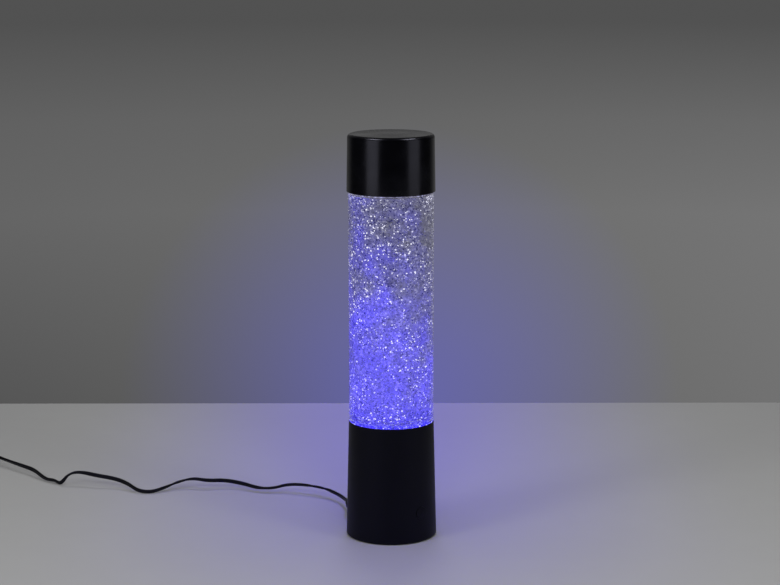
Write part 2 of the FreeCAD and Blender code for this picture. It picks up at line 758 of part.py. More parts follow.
def motor_magnets():
    """Two curved field magnets on the inside of the can."""
    low = MOTOR_BOTTOM_Z + MOTOR_SPIGOT_H + FIELD_END_GAP
    high = LEDGE_TOP_Z - MOTOR_WALL - FIELD_END_GAP
    half = FIELD_SIDE_GAP / 2
    gap = block((-MOTOR_R, -half, low - 1), (MOTOR_R, half, high + 1))
    return ring(FIELD_OUT_R, FIELD_OUT_R - FIELD_T, low, high).cut(gap)


def motor_rotor():
    """The slotted armature on the motor's shaft."""
    low = MOTOR_BOTTOM_Z + MOTOR_SPIGOT_H + ARMATURE_END_GAP
    high = LEDGE_TOP_Z - MOTOR_WALL - ARMATURE_END_GAP
    core = rod(ARMATURE_R, low, high)
    half = ARMATURE_SLOT_W / 2
    slot = block((0, -half, low - 1), (ARMATURE_R, half, high + 1))
    step = 360 / ARMATURE_SLOTS
    cuts = around(slot, ARMATURE_CORE_R, [step * i for i in range(ARMATURE_SLOTS)])
    cuts.append(rod(SHAFT_R + PRESSED, low - 1, high + 1))
    return core.cut(cuts)


def motor_screws():
    """Two short screws down through the mount into the motor."""
    shank = rod(MOTOR_SCREW_R, LEDGE_TOP_Z - MOTOR_WALL - 0.4, MOUNT_TOP_Z)
    head = rod(MOTOR_HEAD_R, MOUNT_TOP_Z, MOUNT_TOP_Z + MOTOR_HEAD_T)
    return around(shank.fuse(head), MOTOR_SCREW_CIRCLE_R, (0, 180))


def drive_shaft():
    """The motor's shaft, up to the magnet carrier."""
    return rod(SHAFT_R, MOTOR_BOTTOM_Z + PRESSED, CARRIER_TOP_Z - 0.5)


# Magnetic drive


def magnet_carrier():
    """The disc on the shaft that holds the drive magnets."""
    carrier = turned(
        (SHAFT_R + PRESSED, CARRIER_BOTTOM_Z - CARRIER_HUB_H),
        (CARRIER_HUB_R, CARRIER_BOTTOM_Z - CARRIER_HUB_H),
        (CARRIER_HUB_R, CARRIER_BOTTOM_Z),
        (CARRIER_R, CARRIER_BOTTOM_Z),
        (CARRIER_R, CARRIER_TOP_Z, 0.5),
        (SHAFT_R + PRESSED, CARRIER_TOP_Z),
    )
    pocket = rod(DRIVE_MAGNET_R + GLUED, CARRIER_TOP_Z - DRIVE_MAGNET_T, CARRIER_TOP_Z + 1)
    return carrier.cut(around(pocket, MAGNET_CIRCLE_R, (0, 180)))


def drive_magnets():
    """Two round magnets in the carrier."""
    magnet = rod(DRIVE_MAGNET_R, CARRIER_TOP_Z - DRIVE_MAGNET_T, CARRIER_TOP_Z)
    return around(magnet, MAGNET_CIRCLE_R, (0, 180))


def stirrer():
    """The vaned disc that turns on the pin in the well."""
    disc_top = STIRRER_Z + STIRRER_DISC_T
    disc = rod(STIRRER_R, STIRRER_Z, disc_top)
    hub = rod(STIRRER_HUB_R, disc_top - 0.5, STIRRER_TOP_Z)
    half = STIRRER_VANE_T / 2
    vane = block((0, -half, disc_top - 0.5), (STIRRER_R - 0.3, half, STIRRER_TOP_Z))
    step = 360 / STIRRER_VANES
    vanes = around(vane, 0, [step / 2 + step * i for i in range(STIRRER_VANES)])
    bore = rod(PIN_R + RUNNING, STIRRER_Z - 1, STIRRER_TOP_Z + 1)
    pocket = rod(STIRRER_MAGNET_R + GLUED, STIRRER_Z - 1, STIRRER_Z + STIRRER_MAGNET_T)
    cuts = [bore] + around(pocket, MAGNET_CIRCLE_R, (0, 180))
    return disc.fuse([hub] + vanes).cut(cuts).removeSplitter()


def stirrer_magnets():
    """Two round magnets under the stirrer's disc."""
    magnet = rod(STIRRER_MAGNET_R, STIRRER_Z, STIRRER_Z + STIRRER_MAGNET_T)
    return around(magnet, MAGNET_CIRCLE_R, (0, 180))


def stirrer_pin():
    """The steel pin from the well's bottom to the guard."""
    return rod(PIN_R, WELL_FLOOR_Z - PIN_BITE, FLOOR_TOP_Z - 0.3)


def stirrer_guard():
    """The perforated disc over the well, flush with the tube's floor."""
    disc = rod(GUARD_R, GUARD_Z, FLOOR_TOP_Z)
    cuts = [rod(PIN_R + PRESSED, GUARD_Z - 1, FLOOR_TOP_Z + 1)]
    hole = rod(GUARD_HOLE_R, GUARD_Z - 1, FLOOR_TOP_Z + 1)
    for inset in GUARD_ROW_INSETS:
        row_r = GUARD_R - inset
        count = round(2 * math.pi * row_r / GUARD_HOLE_PITCH)
        cuts += around(hole, row_r, [360 / count * i for i in range(count)])
    return disc.cut(cuts)


# Light ring


def led_board():
    """The ring board that carries the lights."""
    board = ring(LIGHT_BOARD_OUT_R, LIGHT_BOARD_IN_R, LIGHT_BOARD_Z, LIGHT_TOP_Z)
    hole = rod(LIGHT_SCREW_R + SLIDING, LIGHT_BOARD_Z - 1, LIGHT_TOP_Z + 1)
    return board.cut(around(hole, LIGHT_CIRCLE_R, LIGHT_SCREW_ANGLES))


def leds():
    """Square lights with a round recess, on every ring place that has no screw."""
    half = LIGHT_W / 2
    top = LIGHT_TOP_Z + LIGHT_H
    light = block((-half, -half, LIGHT_TOP_Z), (half, half, top))
    light = light.cut(rod(half - 0.5, top - 0.4, top + 1))
    angles = [a for a in range(0, 360, LIGHT_SPACING) if a not in LIGHT_SCREW_ANGLES]
    return around(light, LIGHT_CIRCLE_R, angles)


def led_screws():
    """Screws that hold the ring board to the mount's standoffs."""
    shank = rod(LIGHT_SCREW_R, LIGHT_BOARD_Z - STANDOFF_BITE, LIGHT_TOP_Z)
    head = rod(LIGHT_HEAD_R, LIGHT_TOP_Z, LIGHT_TOP_Z + LIGHT_HEAD_T)
    return around(shank.fuse(head), LIGHT_CIRCLE_R, LIGHT_SCREW_ANGLES)


# Tube, its two ends and the liquid


def tube_floor():
    """The clear moulding that closes the tube below, with the stirrer's well and three posts."""
    skirt_z = BASE_RIM_Z - FLOOR_SKIRT_H
    well_out_r = WELL_R + WELL_WALL
    floor = turned(
        (0, WELL_UNDER_Z),
        (well_out_r, WELL_UNDER_Z, 0.8),
        (well_out_r, FLOOR_UNDER_Z),
        (INSERT_R - FLOOR_SKIRT_T, FLOOR_UNDER_Z),
        (INSERT_R - FLOOR_SKIRT_T, skirt_z),
        (INSERT_R, skirt_z, 0.4),
        (INSERT_R, BASE_RIM_Z),
        (TUBE_R, BASE_RIM_Z),
        (TUBE_R, TUBE_BOTTOM_Z),
        (SPIGOT_R, TUBE_BOTTOM_Z),
        (SPIGOT_R, TUBE_BOTTOM_Z + SPIGOT_H, 0.5),
        (SPIGOT_BORE_R, TUBE_BOTTOM_Z + SPIGOT_H),
        (SPIGOT_BORE_R, FLOOR_TOP_Z, 0.8),
        (GUARD_R + SLIDING, FLOOR_TOP_Z),
        (GUARD_R + SLIDING, GUARD_Z),
        (WELL_R, GUARD_Z),
        (WELL_R, WELL_FLOOR_Z, 1.0),
        (PIN_BOSS_R, WELL_FLOOR_Z),
        (PIN_BOSS_R, WELL_FLOOR_Z + PIN_BOSS_H),
        (0, WELL_FLOOR_Z + PIN_BOSS_H),
    )
    post = rod(CLAMP_POST_R, MOUNT_TOP_Z, FLOOR_UNDER_Z + 0.5)
    floor = floor.fuse(around(post, CLAMP_CIRCLE_R, CLAMP_ANGLES))
    pilot = rod(CLAMP_SCREW_R + GLUED, MOUNT_TOP_Z - 1, MOUNT_TOP_Z + CLAMP_BITE + 1)
    pin_hole = rod(PIN_R + PRESSED, WELL_FLOOR_Z - PIN_BITE, STIRRER_Z + 1)
    return floor.cut(around(pilot, CLAMP_CIRCLE_R, CLAMP_ANGLES) + [pin_hole]).removeSplitter()


def clear_tube():
    """The clear column."""
    return ring(TUBE_R, BORE_R, TUBE_BOTTOM_Z, TUBE_TOP_Z)


def glitter_fluid():
    """The liquid, clear of the tube and of both spigots."""
    bottom = FLOOR_TOP_Z + BESIDE
    return turned(
        (0, bottom),
        (SPIGOT_BORE_R - BESIDE, bottom, 1.0),
        (SPIGOT_BORE_R - BESIDE, TUBE_BOTTOM_Z + SPIGOT_H + BESIDE),
        (BORE_R - BESIDE, TUBE_BOTTOM_Z + SPIGOT_H + BESIDE),
        (BORE_R - BESIDE, LIQUID_TOP_Z),
        (0, LIQUID_TOP_Z),
    )


def top_closure():
    """The clear moulding that closes the tube above, with a filler neck and a collar for the cap."""
    top = CAP_BOTTOM_Z
    return turned(
        (FILLER_R, CLOSURE_UNDER_Z),
        (SPIGOT_R, CLOSURE_UNDER_Z, 0.6),
        (SPIGOT_R, TUBE_TOP_Z),
        (TUBE_R, TUBE_TOP_Z),
        (TUBE_R, top),
        (COLLAR_R, top),
        (COLLAR_R, top + COLLAR_H, 0.8),
        (COLLAR_R - COLLAR_T, top + COLLAR_H),
        (COLLAR_R - COLLAR_T, top, 0.8),
        (FILLER_R + FILLER_WALL, top, 0.8),
        (FILLER_R + FILLER_WALL, top + FILLER_H),
        (FILLER_R, top + FILLER_H),
    )


def filler_stopper():
    """The headed plug in the filler neck."""
    seat = CAP_BOTTOM_Z + FILLER_H
    return turned(
        (0, CLOSURE_UNDER_Z + 0.5),
        (FILLER_R - GLUED, CLOSURE_UNDER_Z + 0.5, 0.5),
        (FILLER_R - GLUED, seat),
        (STOPPER_HEAD_R, seat),
        (STOPPER_HEAD_R, seat + STOPPER_HEAD_T, 0.5),
        (0, seat + STOPPER_HEAD_T),
    )


def top_cap():
    """The black cap, with ribs inside its skirt that grip the collar."""
    cap = turned(
        (0, HEIGHT - CAP_WALL),
        (CAP_TOP_R - CAP_WALL, HEIGHT - CAP_WALL, CAP_INNER_ROUND),
        (CAP_SKIRT_R - CAP_WALL, CAP_BOTTOM_Z),
        (CAP_SKIRT_R, CAP_BOTTOM_Z, CAP_LIP_ROUND),
        (CAP_TOP_R, HEIGHT, CAP_EDGE_ROUND),
        (0, HEIGHT),
    )
    grip_r = COLLAR_R + GLUED
    half = CAP_RIB_T / 2
    high = CAP_BOTTOM_Z + 1.0 + CAP_RIB_H
    rib = block((grip_r, -half, CAP_BOTTOM_Z + 1.0), (CAP_SKIRT_R - CAP_WALL / 2, half, high))
    ribs = around(rib, 0, [360 / CAP_RIBS * i for i in range(CAP_RIBS)])
    bore = rod(grip_r, CAP_BOTTOM_Z, high + 1)
    return cap.fuse([one.cut(bore) for one in ribs]).removeSplitter()


# Lead and plug


def boot_end_y():
    """Where the lead leaves its boot."""
    return base_outer(LEAD_Z) + BOOT_FLANGE_T + BOOT_LENGTH


def strain_relief():
    """The tapered boot in the base's back wall, with a flange each side of the wall."""
    wall_out = base_outer(LEAD_Z) + GLUED
    wall_in = math.sqrt(base_inner(LEAD_Z) ** 2 - BOOT_FLANGE_R**2) - GLUED
    boot = turned(
        (0, wall_in - BOOT_FLANGE_T),
        (BOOT_FLANGE_R, wall_in - BOOT_FLANGE_T),
        (BOOT_FLANGE_R, wall_in),
        (BOOT_NECK_R, wall_in),
        (BOOT_NECK_R, wall_out),
        (BOOT_FLANGE_R, wall_out),
        (BOOT_FLANGE_R, wall_out + BOOT_FLANGE_T, 0.5),
        (BOOT_NECK_R, wall_out + BOOT_FLANGE_T),
        (LEAD_R + BOOT_TIP_WALL, boot_end_y()),
        (0, boot_end_y()),
    )
    boot.rotate(V(), V(1, 0, 0), -90)
    boot.translate(V(0, 0, LEAD_Z))
    return boot, wall_in - BOOT_FLANGE_T


def cord_run():
    """The free lead from the boot to the coil, as a round tube as wide as the flat lead."""
    start = V(0, boot_end_y(), LEAD_Z)
    end = coil_start() - BACK * LEAD_W
    route = [V(*place) for place in LEAD_ROUTE]
    points = [start, start + BACK * LEAD_FIRST_RUN] + route + [end - BACK * LEAD_LAST_RUN, end]
    return tube(points, LEAD_R)


def coil_start():
    """Where the coil's turns begin, on its upper layer."""
    return COIL_START + UP * (LEAD_R + COIL_LAYER)


def cord_coil():
    """The coil: half turns in on the upper layer, one down, and half turns out on the lower layer."""
    start = coil_start()
    centre = start - V(COIL_R, 0, 0)
    steps = list(range(COIL_HALF_TURNS_IN + 1))
    radii = [COIL_R - COIL_PITCH / 2 * k for k in steps]
    stops = [(radius, 0) for radius in radii]
    stops += [(radius, -COIL_LAYER) for radius in reversed(radii)]
    edges = [Part.LineSegment(start - BACK * LEAD_W, start).toShape()]
    side = 1
    at = start
    for radius, drop in stops[1:]:
        to = centre + V(-side * radius, 0, drop)
        across = (to - at) * 0.5
        middle = at + across + BACK * (side * across.Length)
        edges.append(Part.Arc(at, middle, to).toShape())
        at = to
        side = -side
    edges.append(Part.LineSegment(at, at + BACK * (side * LEAD_W)).toShape())
    path = Part.Wire(edges)
    section = Part.Wire(Part.makeCircle(LEAD_R, start - BACK * LEAD_W, BACK))
    solid = path.makePipeShell([section], True, False)
    return solid, path, at + BACK * (side * LEAD_W)


def least_gap(path, width):
    """The least gap between a tube's own turns, measured on points along its path."""
    step = 1.0
    points = path.discretize(Number=int(path.Length / step))
    apart = int(3 * width / step)
    nearest = min(
        a.distanceToPoint(b) for i, a in enumerate(points) for b in points[i + apart :]
    )
    return nearest - width


def plug_heading():
    """The way the plug points."""
    turn = math.radians(PLUG_TURN)
    return V(math.sin(turn), -math.cos(turn), 0)


def cord_tail(coil_end):
    """The short stretch from the coil to the plug."""
    rise = PLUG_T / 2 - LEAD_R
    points = [coil_end]
    points += [coil_end + V(x, y, rise * share) for x, y, share in TAIL_ROUTE]
    points.append(points[-1] + plug_heading() * TAIL_LAST_RUN)
    return tube(points, LEAD_R) + (points[-1],)


def plug_pieces():
    """The plug's moulded grip, shell, tongue and contacts, pointing along -Y from the origin."""
    body_front = -PLUG_BOOT_LENGTH - PLUG_LENGTH
    half_w, half_t = PLUG_W / 2, PLUG_T / 2
    grip = block((-half_w, body_front, -half_t), (half_w, -PLUG_BOOT_LENGTH, half_t))
    long_edges = [edge for edge in grip.Edges if abs(edge.tangentAt(edge.FirstParameter).y) > 0.9]
    grip = grip.makeFillet(PLUG_ROUND, long_edges)
    boot_tip_r = LEAD_R + PLUG_BOOT_TIP_WALL
    boot = Part.makeCone(boot_tip_r, PLUG_BOOT_R, PLUG_BOOT_LENGTH + 1, V(), -BACK)
    grip = grip.fuse(boot)
    shell_w, shell_t = SHELL_W / 2, SHELL_T / 2
    shell_back = body_front + SHELL_IN
    shell_front = body_front - SHELL_OUT
    cuts = [
        block(
            (-shell_w - RUNNING, body_front - 1, -shell_t - RUNNING),
            (shell_w + RUNNING, shell_back, shell_t + RUNNING),
        )
    ]
    for i in range(PLUG_GROOVES):
        y = -PLUG_BOOT_LENGTH - PLUG_LENGTH / 3 - PLUG_GROOVE_PITCH * i
        for side in (-1, 1):
            inner = side * (half_w - PLUG_GROOVE_DEEP)
            outer = side * (half_w + 1)
            low = (min(inner, outer), y - PLUG_GROOVE_W, -half_t - 1)
            high = (max(inner, outer), y, half_t + 1)
            cuts.append(block(low, high))
    grip = grip.cut(cuts).removeSplitter()
    shell = block((-shell_w, shell_front, -shell_t), (shell_w, shell_back, shell_t))
    inside = block(
        (-shell_w + SHELL_WALL, shell_front - 1, -shell_t + SHELL_WALL),
        (shell_w - SHELL_WALL, shell_back + 1, shell_t - SHELL_WALL),
    )
    window_y = shell_front + SHELL_OUT / 2
    half = SHELL_WINDOW / 2
    windows = [
        block((x - half, window_y - half, 0), (x + half, window_y + half, PLUG_T))
        for x in (-SHELL_W / 4, SHELL_W / 4)
    ]
    shell = shell.cut([inside] + windows)
    tongue_top = shell_t - SHELL_WALL - RUNNING
    tongue_w = shell_w - SHELL_WALL - RUNNING
    tongue_under = tongue_top - TONGUE_T
    tongue = block(
        (-tongue_w, shell_front + TONGUE_SHORT, tongue_under),
        (tongue_w, shell_back - RUNNING, tongue_top),
    )
    contacts = []
    for i in range(CONTACTS):
        x = CONTACT_PITCH * (i - (CONTACTS - 1) / 2)
        y = shell_front + TONGUE_SHORT + CONTACT_INSET
        low = (x - CONTACT_W / 2, y, tongue_under - CONTACT_T)
        high = (x + CONTACT_W / 2, y + CONTACT_LENGTH, tongue_under)
        contacts.append(block(low, high))
    return {
        "plug_body": [grip],
        "plug_shell": [shell],
        "plug_tongue": [tongue],
        "plug_contacts": contacts,
    }


# Wires inside the base


def wire_pair(points):
    """Two thin wires side by side along X, on the same route."""
    wires = []
    for offset in (-LEAD_WIRE_PITCH / 2, LEAD_WIRE_PITCH / 2):
        moved = [point + V(offset, 0, 0) for point in points]
        wires.append(tube(moved, INNER_WIRE_R)[0])
    return wires


def socket_face(name):
    """The middle of a board socket's face."""
    x, z = socket_places()[name]
    return V(x, BOARD_BACK_Y + SOCKET_DEEP, z)


def power_wires(inner_y):
    """From the lead's boot along the bottom of the base to the board."""
    end = socket_face("power")
    return wire_pair(
        [
            V(0, inner_y, LEAD_Z),
            V(0, inner_y - 11, LEAD_Z),
            V(4.0, 3, LEAD_Z - 1.5),
            end + V(0, 8, 0),
            end,
        ]
    )


def motor_wires():
    """From the motor's end cap down to the board."""
    end = socket_face("motor")
    return wire_pair(
        [
            V(0, -7, MOTOR_END_Z),
            V(0, -7, MOTOR_END_Z - 6),
            end + V(0.5, 8.5, 3.5),
            end + V(0, 5, 0),
            end,
        ]
    )


def led_wires():
    """From the light ring through the motor mount down to the board."""
    turn = math.radians(LIGHT_WIRE_ANGLE)
    x = LIGHT_CIRCLE_R * math.cos(turn)
    y = LIGHT_CIRCLE_R * math.sin(turn)
    end = socket_face("lights")
    return wire_pair(
        [
            V(x, y, LIGHT_BOARD_Z),
            V(x, y, MOUNT_TOP_Z - 9),
            V(x - 2, y + 3.5, MOTOR_END_Z - 7),
            end + V(1, 8, 4),
            end + V(0, 5, 0),
            end,
        ]
    )


def build():
    """Makes every node and writes its file."""
    os.makedirs("parts", exist_ok=True)
    save("base_shell", base_shell())
    save("bottom_cover", bottom_cover())
    save("rubber_feet", *rubber_feet())
    save("cover_screws", *cover_screws())
    save("power_button", power_button())
    save("switch_plunger", switch_plunger())
    save("switch_body", switch_body())
    save("control_board", control_board())
    save("board_parts", *board_parts())
    save("board_screws", *board_screws())
    save("motor_mount", motor_mount())
    save("clamp_screws", *clamp_screws())
    save("motor_can", motor_can())
    save("motor_end_cap", motor_end_cap())
    save("motor_magnets", motor_magnets())
    save("motor_rotor", motor_rotor())
    save("motor_screws", *motor_screws())
    save("drive_shaft", drive_shaft())
    save("magnet_carrier", magnet_carrier())
    save("drive_magnets", *drive_magnets())
    save("stirrer", stirrer())
    save("stirrer_magnets", *stirrer_magnets())
    save("stirrer_pin", stirrer_pin())
    save("stirrer_guard", stirrer_guard())
    save("led_board", led_board())
    save("leds", *leds())
    save("led_screws", *led_screws())
    save("tube_floor", tube_floor())
    save("clear_tube", clear_tube())
    save("glitter_fluid", glitter_fluid())
    save("top_closure", top_closure())
    save("filler_stopper", filler_stopper())
    save("top_cap", top_cap())

    boot, inner_y = strain_relief()
    save("strain_relief", boot)
    save("power_wires", *power_wires(inner_y))
    save("motor_wires", *motor_wires())
    save("led_wires", *led_wires())

    run, run_path, run_radii = cord_run()
    save("cord_run", run)
    describe_tube("cord_run", run, run_path, run_radii, LEAD_R)
    coil, coil_path, coil_end = cord_coil()
    save("cord_coil", coil)
    print(f"cord_coil: length {coil_path.Length:.1f}, least gap {least_gap(coil_path, LEAD_W):.2f}")
    tail, tail_path, tail_radii, plug_start = cord_tail(coil_end)
    save("cord_tail", tail)
    describe_tube("cord_tail", tail, tail_path, tail_radii, LEAD_R)
    print(f"lead length {run_path.Length + coil_path.Length + tail_path.Length:.0f}")
    for node, shapes in plug_pieces().items():
        for shape in shapes:
            shape.rotate(V(), UP, PLUG_TURN)
            shape.translate(plug_start)
        save(node, *shapes)


build()
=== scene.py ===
"""Glitter lamp: looks, camera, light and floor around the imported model."""

import math

import bpy
import numpy as np
from mathutils import Matrix, Vector, noise


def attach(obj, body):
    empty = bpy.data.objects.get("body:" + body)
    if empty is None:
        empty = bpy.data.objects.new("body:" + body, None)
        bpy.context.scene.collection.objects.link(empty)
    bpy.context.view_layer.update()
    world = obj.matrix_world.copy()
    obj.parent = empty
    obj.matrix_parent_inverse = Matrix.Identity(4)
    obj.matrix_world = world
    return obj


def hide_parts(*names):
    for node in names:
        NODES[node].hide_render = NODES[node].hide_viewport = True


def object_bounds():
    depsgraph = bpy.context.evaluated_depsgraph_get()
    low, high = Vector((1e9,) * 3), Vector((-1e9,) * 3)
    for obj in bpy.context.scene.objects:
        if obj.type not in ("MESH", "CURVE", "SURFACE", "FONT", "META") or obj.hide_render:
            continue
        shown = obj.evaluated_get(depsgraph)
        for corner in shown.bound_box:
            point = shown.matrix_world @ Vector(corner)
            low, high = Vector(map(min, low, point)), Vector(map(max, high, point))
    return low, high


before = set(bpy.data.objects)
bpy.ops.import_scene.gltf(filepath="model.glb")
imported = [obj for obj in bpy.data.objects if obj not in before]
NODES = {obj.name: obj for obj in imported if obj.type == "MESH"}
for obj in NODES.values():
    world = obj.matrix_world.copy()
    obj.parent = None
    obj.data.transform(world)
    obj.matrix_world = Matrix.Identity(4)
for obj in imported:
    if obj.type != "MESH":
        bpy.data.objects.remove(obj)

CAD_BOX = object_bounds()
MM = 0.001

# The photograph looks along LOOK, from this far round, with the button to the right
TURN = math.radians(42)
LOOK = Vector((math.sin(TURN), math.cos(TURN), 0))
RIGHT = Vector((math.cos(TURN), -math.sin(TURN), 0))

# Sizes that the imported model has, in metres
BORE_R = 0.0335
FLOOR_Z = 0.1005
SPIGOT_BORE_R = 0.03145
SPIGOT_TOP_Z = 0.1042
CLOSURE_Z = 0.299


# Camera


# Worked out from the lamp's outline in the photograph
CAMERA_ASIDE = -0.000948
CAMERA_BACK = 1.77974
CAMERA_Z = 0.54521
CAMERA_PITCH = 0.184298
CAMERA_ROLL = -0.0014326
LENS_MM = 97.623
SENSOR_MM = 36


def make_camera():
    """The photograph's camera."""
    place = RIGHT * CAMERA_ASIDE + LOOK * -CAMERA_BACK + Vector((0, 0, CAMERA_Z))
    ahead = LOOK * math.cos(CAMERA_PITCH) - Vector((0, 0, math.sin(CAMERA_PITCH)))
    up = RIGHT.cross(ahead)
    right = RIGHT * math.cos(CAMERA_ROLL) + up * math.sin(CAMERA_ROLL)
    up = right.cross(ahead)
    turned = Matrix((right, up, -ahead)).transposed().to_4x4()
    data = bpy.data.cameras.new("camera")
    data.sensor_width = SENSOR_MM
    data.lens = LENS_MM
    data.clip_start = 0.05
    data.clip_end = 30
    camera = bpy.data.objects.new("camera", data)
    camera.matrix_world = Matrix.Translation(place) @ turned
    bpy.context.scene.collection.objects.link(camera)
    bpy.context.scene.camera = camera


# Helpers for meshes


def add_mesh(name, points, faces, material, smooth_below=35):
    """A mesh object from points and faces, smooth but for edges sharper than the angle."""
    mesh = bpy.data.meshes.new(name)
    mesh.from_pydata([tuple(p) for p in points], [], faces)
    mesh.polygons.foreach_set("use_smooth", [True] * len(mesh.polygons))
    mesh.set_sharp_from_angle(angle=math.radians(smooth_below))
    mesh.materials.append(material)
    made = bpy.data.objects.new(name, mesh)
    bpy.context.scene.collection.objects.link(made)
    return made


def lathe(name, outline, material, count=96, shape=None):
    """A closed body turned from (radius, height) points; shape may move each point."""
    points, rings = [], []
    for radius, z in outline:
        if radius < 1e-6:
            rings.append([len(points)])
            points.append(Vector((0, 0, z)))
            continue
        ring = []
        for k in range(count):
            angle = 2 * math.pi * k / count
            ring.append(len(points))
            points.append(Vector((radius * math.cos(angle), radius * math.sin(angle), z)))
        rings.append(ring)
    if shape:
        points = [shape(p) for p in points]
    faces = []
    for low, high in zip(rings, rings[1:]):
        for k in range(count):
            j = (k + 1) % count
            if len(low) == 1:
                faces.append((low[0], high[j], high[k]))
            elif len(high) == 1:
                faces.append((low[k], low[j], high[0]))
            else:
                faces.append((low[k], low[j], high[j], high[k]))
    return add_mesh(name, points, faces, material)


# Helpers for materials


# Nearly all of a noise lies between these two values
NOISE_LOW = 0.3
NOISE_HIGH = 0.7


def new_material(name):
    """An empty node material and its tree."""
    made = bpy.data.materials.new(name)
    made.use_nodes = True
    made.node_tree.nodes.clear()
    return made, made.node_tree


def put(tree, kind, inputs=None, **settings):
    """A shader node with its settings and inputs, each a value or another node's output."""
    made = tree.nodes.new("ShaderNode" + kind)
    for key, value in settings.items():
        setattr(made, key, value)
    for key, value in (inputs or {}).items():
        if isinstance(value, bpy.types.NodeSocket):
            tree.links.new(value, made.inputs[key])
        else:
            made.inputs[key].default_value = value
    return made


def places(tree):
    """The surface's own coordinates, in metres."""
    return put(tree, "TexCoord").outputs["Object"]


def place_along(tree, direction):
    """How far a point of the surface lies in a direction, in metres."""
    made = put(tree, "VectorMath", {0: places(tree), 1: direction}, operation="DOT_PRODUCT")
    return made.outputs["Value"]


def height_of(tree):
    """How high a point of the surface lies, in metres."""
    return put(tree, "SeparateXYZ", {"Vector": places(tree)}).outputs["Z"]


def grain(tree, scale, detail=2.0, rough=0.5):
    """Noise from 0 to 1 over the surface, with scale in cells a metre."""
    made = put(tree, "TexNoise", {"Vector": places(tree), "Scale": scale, "Detail": detail,
                                  "Roughness": rough})
    return made.outputs["Fac"]


def spread(tree, value, low, high, to_low, to_high):
    """The value moved from one range to another, and kept in it."""
    made = put(tree, "MapRange", {"Value": value, "From Min": low, "From Max": high,
                                  "To Min": to_low, "To Max": to_high})
    return made.outputs["Result"]


def math_node(tree, operation, a, b=0.0, c=0.0):
    """One sum, as a node."""
    made = tree.nodes.new("ShaderNodeMath")
    made.operation = operation
    for socket, value in zip(made.inputs, (a, b, c)):
        if isinstance(value, bpy.types.NodeSocket):
            tree.links.new(value, socket)
        else:
            socket.default_value = value
    return made.outputs[0]


def product(tree, a, b):
    """Two numbers multiplied."""
    return math_node(tree, "MULTIPLY", a, b)


def ramp(tree, value, *stops):
    """A colour ramp with (position, colour) stops."""
    made = put(tree, "ValToRGB", {"Fac": value})
    elements = made.color_ramp.elements
    while len(elements) < len(stops):
        elements.new(1.0)
    for element, (at, colour) in zip(elements, stops):
        element.position = at
        element.color = (*colour, 1)
    return made.outputs["Color"]


def vary(tree, pattern, low, high):
    """A value that goes from low to high with a noise."""
    return spread(tree, pattern, NOISE_LOW, NOISE_HIGH, low, high)


def mottle(tree, pattern, dark, pale):
    """A colour that goes from dark to pale with a noise."""
    return ramp(tree, pattern, (NOISE_LOW, dark), (NOISE_HIGH, pale))


def specks(tree, scale):
    """A value from 0 to 1 that jumps from one small cell to the next."""
    cells = put(tree, "TexVoronoi", {"Vector": places(tree), "Scale": scale})
    return put(tree, "SeparateColor", {"Color": cells.outputs["Color"]}).outputs[0]


def mixed(tree, share, first, second):
    """Two colours mixed: the first at share 0 and the second at share 1."""
    made = put(tree, "MixRGB", {"Fac": share, "Color1": first, "Color2": second})
    return made.outputs[0]


def tinted(tree, first, second):
    """Two colours multiplied."""
    made = put(tree, "MixRGB", {"Fac": 1.0, "Color1": first, "Color2": second},
               blend_type="MULTIPLY")
    return made.outputs[0]


def mixed_shader(tree, share, first, second):
    """Two shaders mixed: the first at share 0 and the second at share 1."""
    return put(tree, "MixShader", {0: share, 1: first.outputs[0], 2: second.outputs[0]})


def passing_lamps(tree, shader, tint):
    """The shader, but clear to shadow rays, so that lamps shine through with this tint."""
    clear = put(tree, "BsdfTransparent", {"Color": (*tint, 1)})
    shadow = put(tree, "LightPath").outputs["Is Shadow Ray"]
    return mixed_shader(tree, shadow, shader, clear)


def finish_surface(tree, shader):
    """Links the shader to the output."""
    put(tree, "OutputMaterial", {"Surface": shader.outputs[0]})


def moulded(name, dark, pale, rough, grain_mm, bump, specular=0.5, gloss_tint=(1, 1, 1)):
    """Moulded plastic or rubber: a fine grain in the surface and slow changes of tone."""
    made, tree = new_material(name)
    slow = grain(tree, 45.0, 3.0)
    fine = grain(tree, 1 / (grain_mm * MM), 2.0, 0.6)
    roughness = vary(tree, slow, rough - 0.04, rough + 0.04)
    roughness = math_node(tree, "ADD", roughness, vary(tree, fine, -0.03, 0.03))
    normal = put(tree, "Bump", {"Height": fine, "Strength": bump, "Distance": 0.1 * MM})
    shader = put(tree, "BsdfPrincipled", {
        "Base Color": mottle(tree, slow, dark, pale), "Roughness": roughness,
        "Specular IOR Level": specular, "Specular Tint": (*gloss_tint, 1),
        "Normal": normal.outputs["Normal"],
    })
    finish_surface(tree, shader)
    return made


def metal(name, dark, pale, rough, scale, stretch=(1, 1, 1)):
    """Plain metal with fine drawn marks along one direction."""
    made, tree = new_material(name)
    drawn = put(tree, "Mapping", {"Vector": places(tree), "Scale": stretch})
    marks = put(tree, "TexNoise", {"Vector": drawn.outputs[0], "Scale": scale, "Detail": 4.0})
    marks = marks.outputs["Fac"]
    normal = put(tree, "Bump", {"Height": marks, "Strength": 0.15, "Distance": 0.05 * MM})
    shader = put(tree, "BsdfPrincipled", {
        "Base Color": mottle(tree, marks, dark, pale), "Metallic": 1.0,
        "Roughness": vary(tree, marks, rough - 0.06, rough + 0.08),
        "Normal": normal.outputs["Normal"],
    })
    finish_surface(tree, shader)
    return made


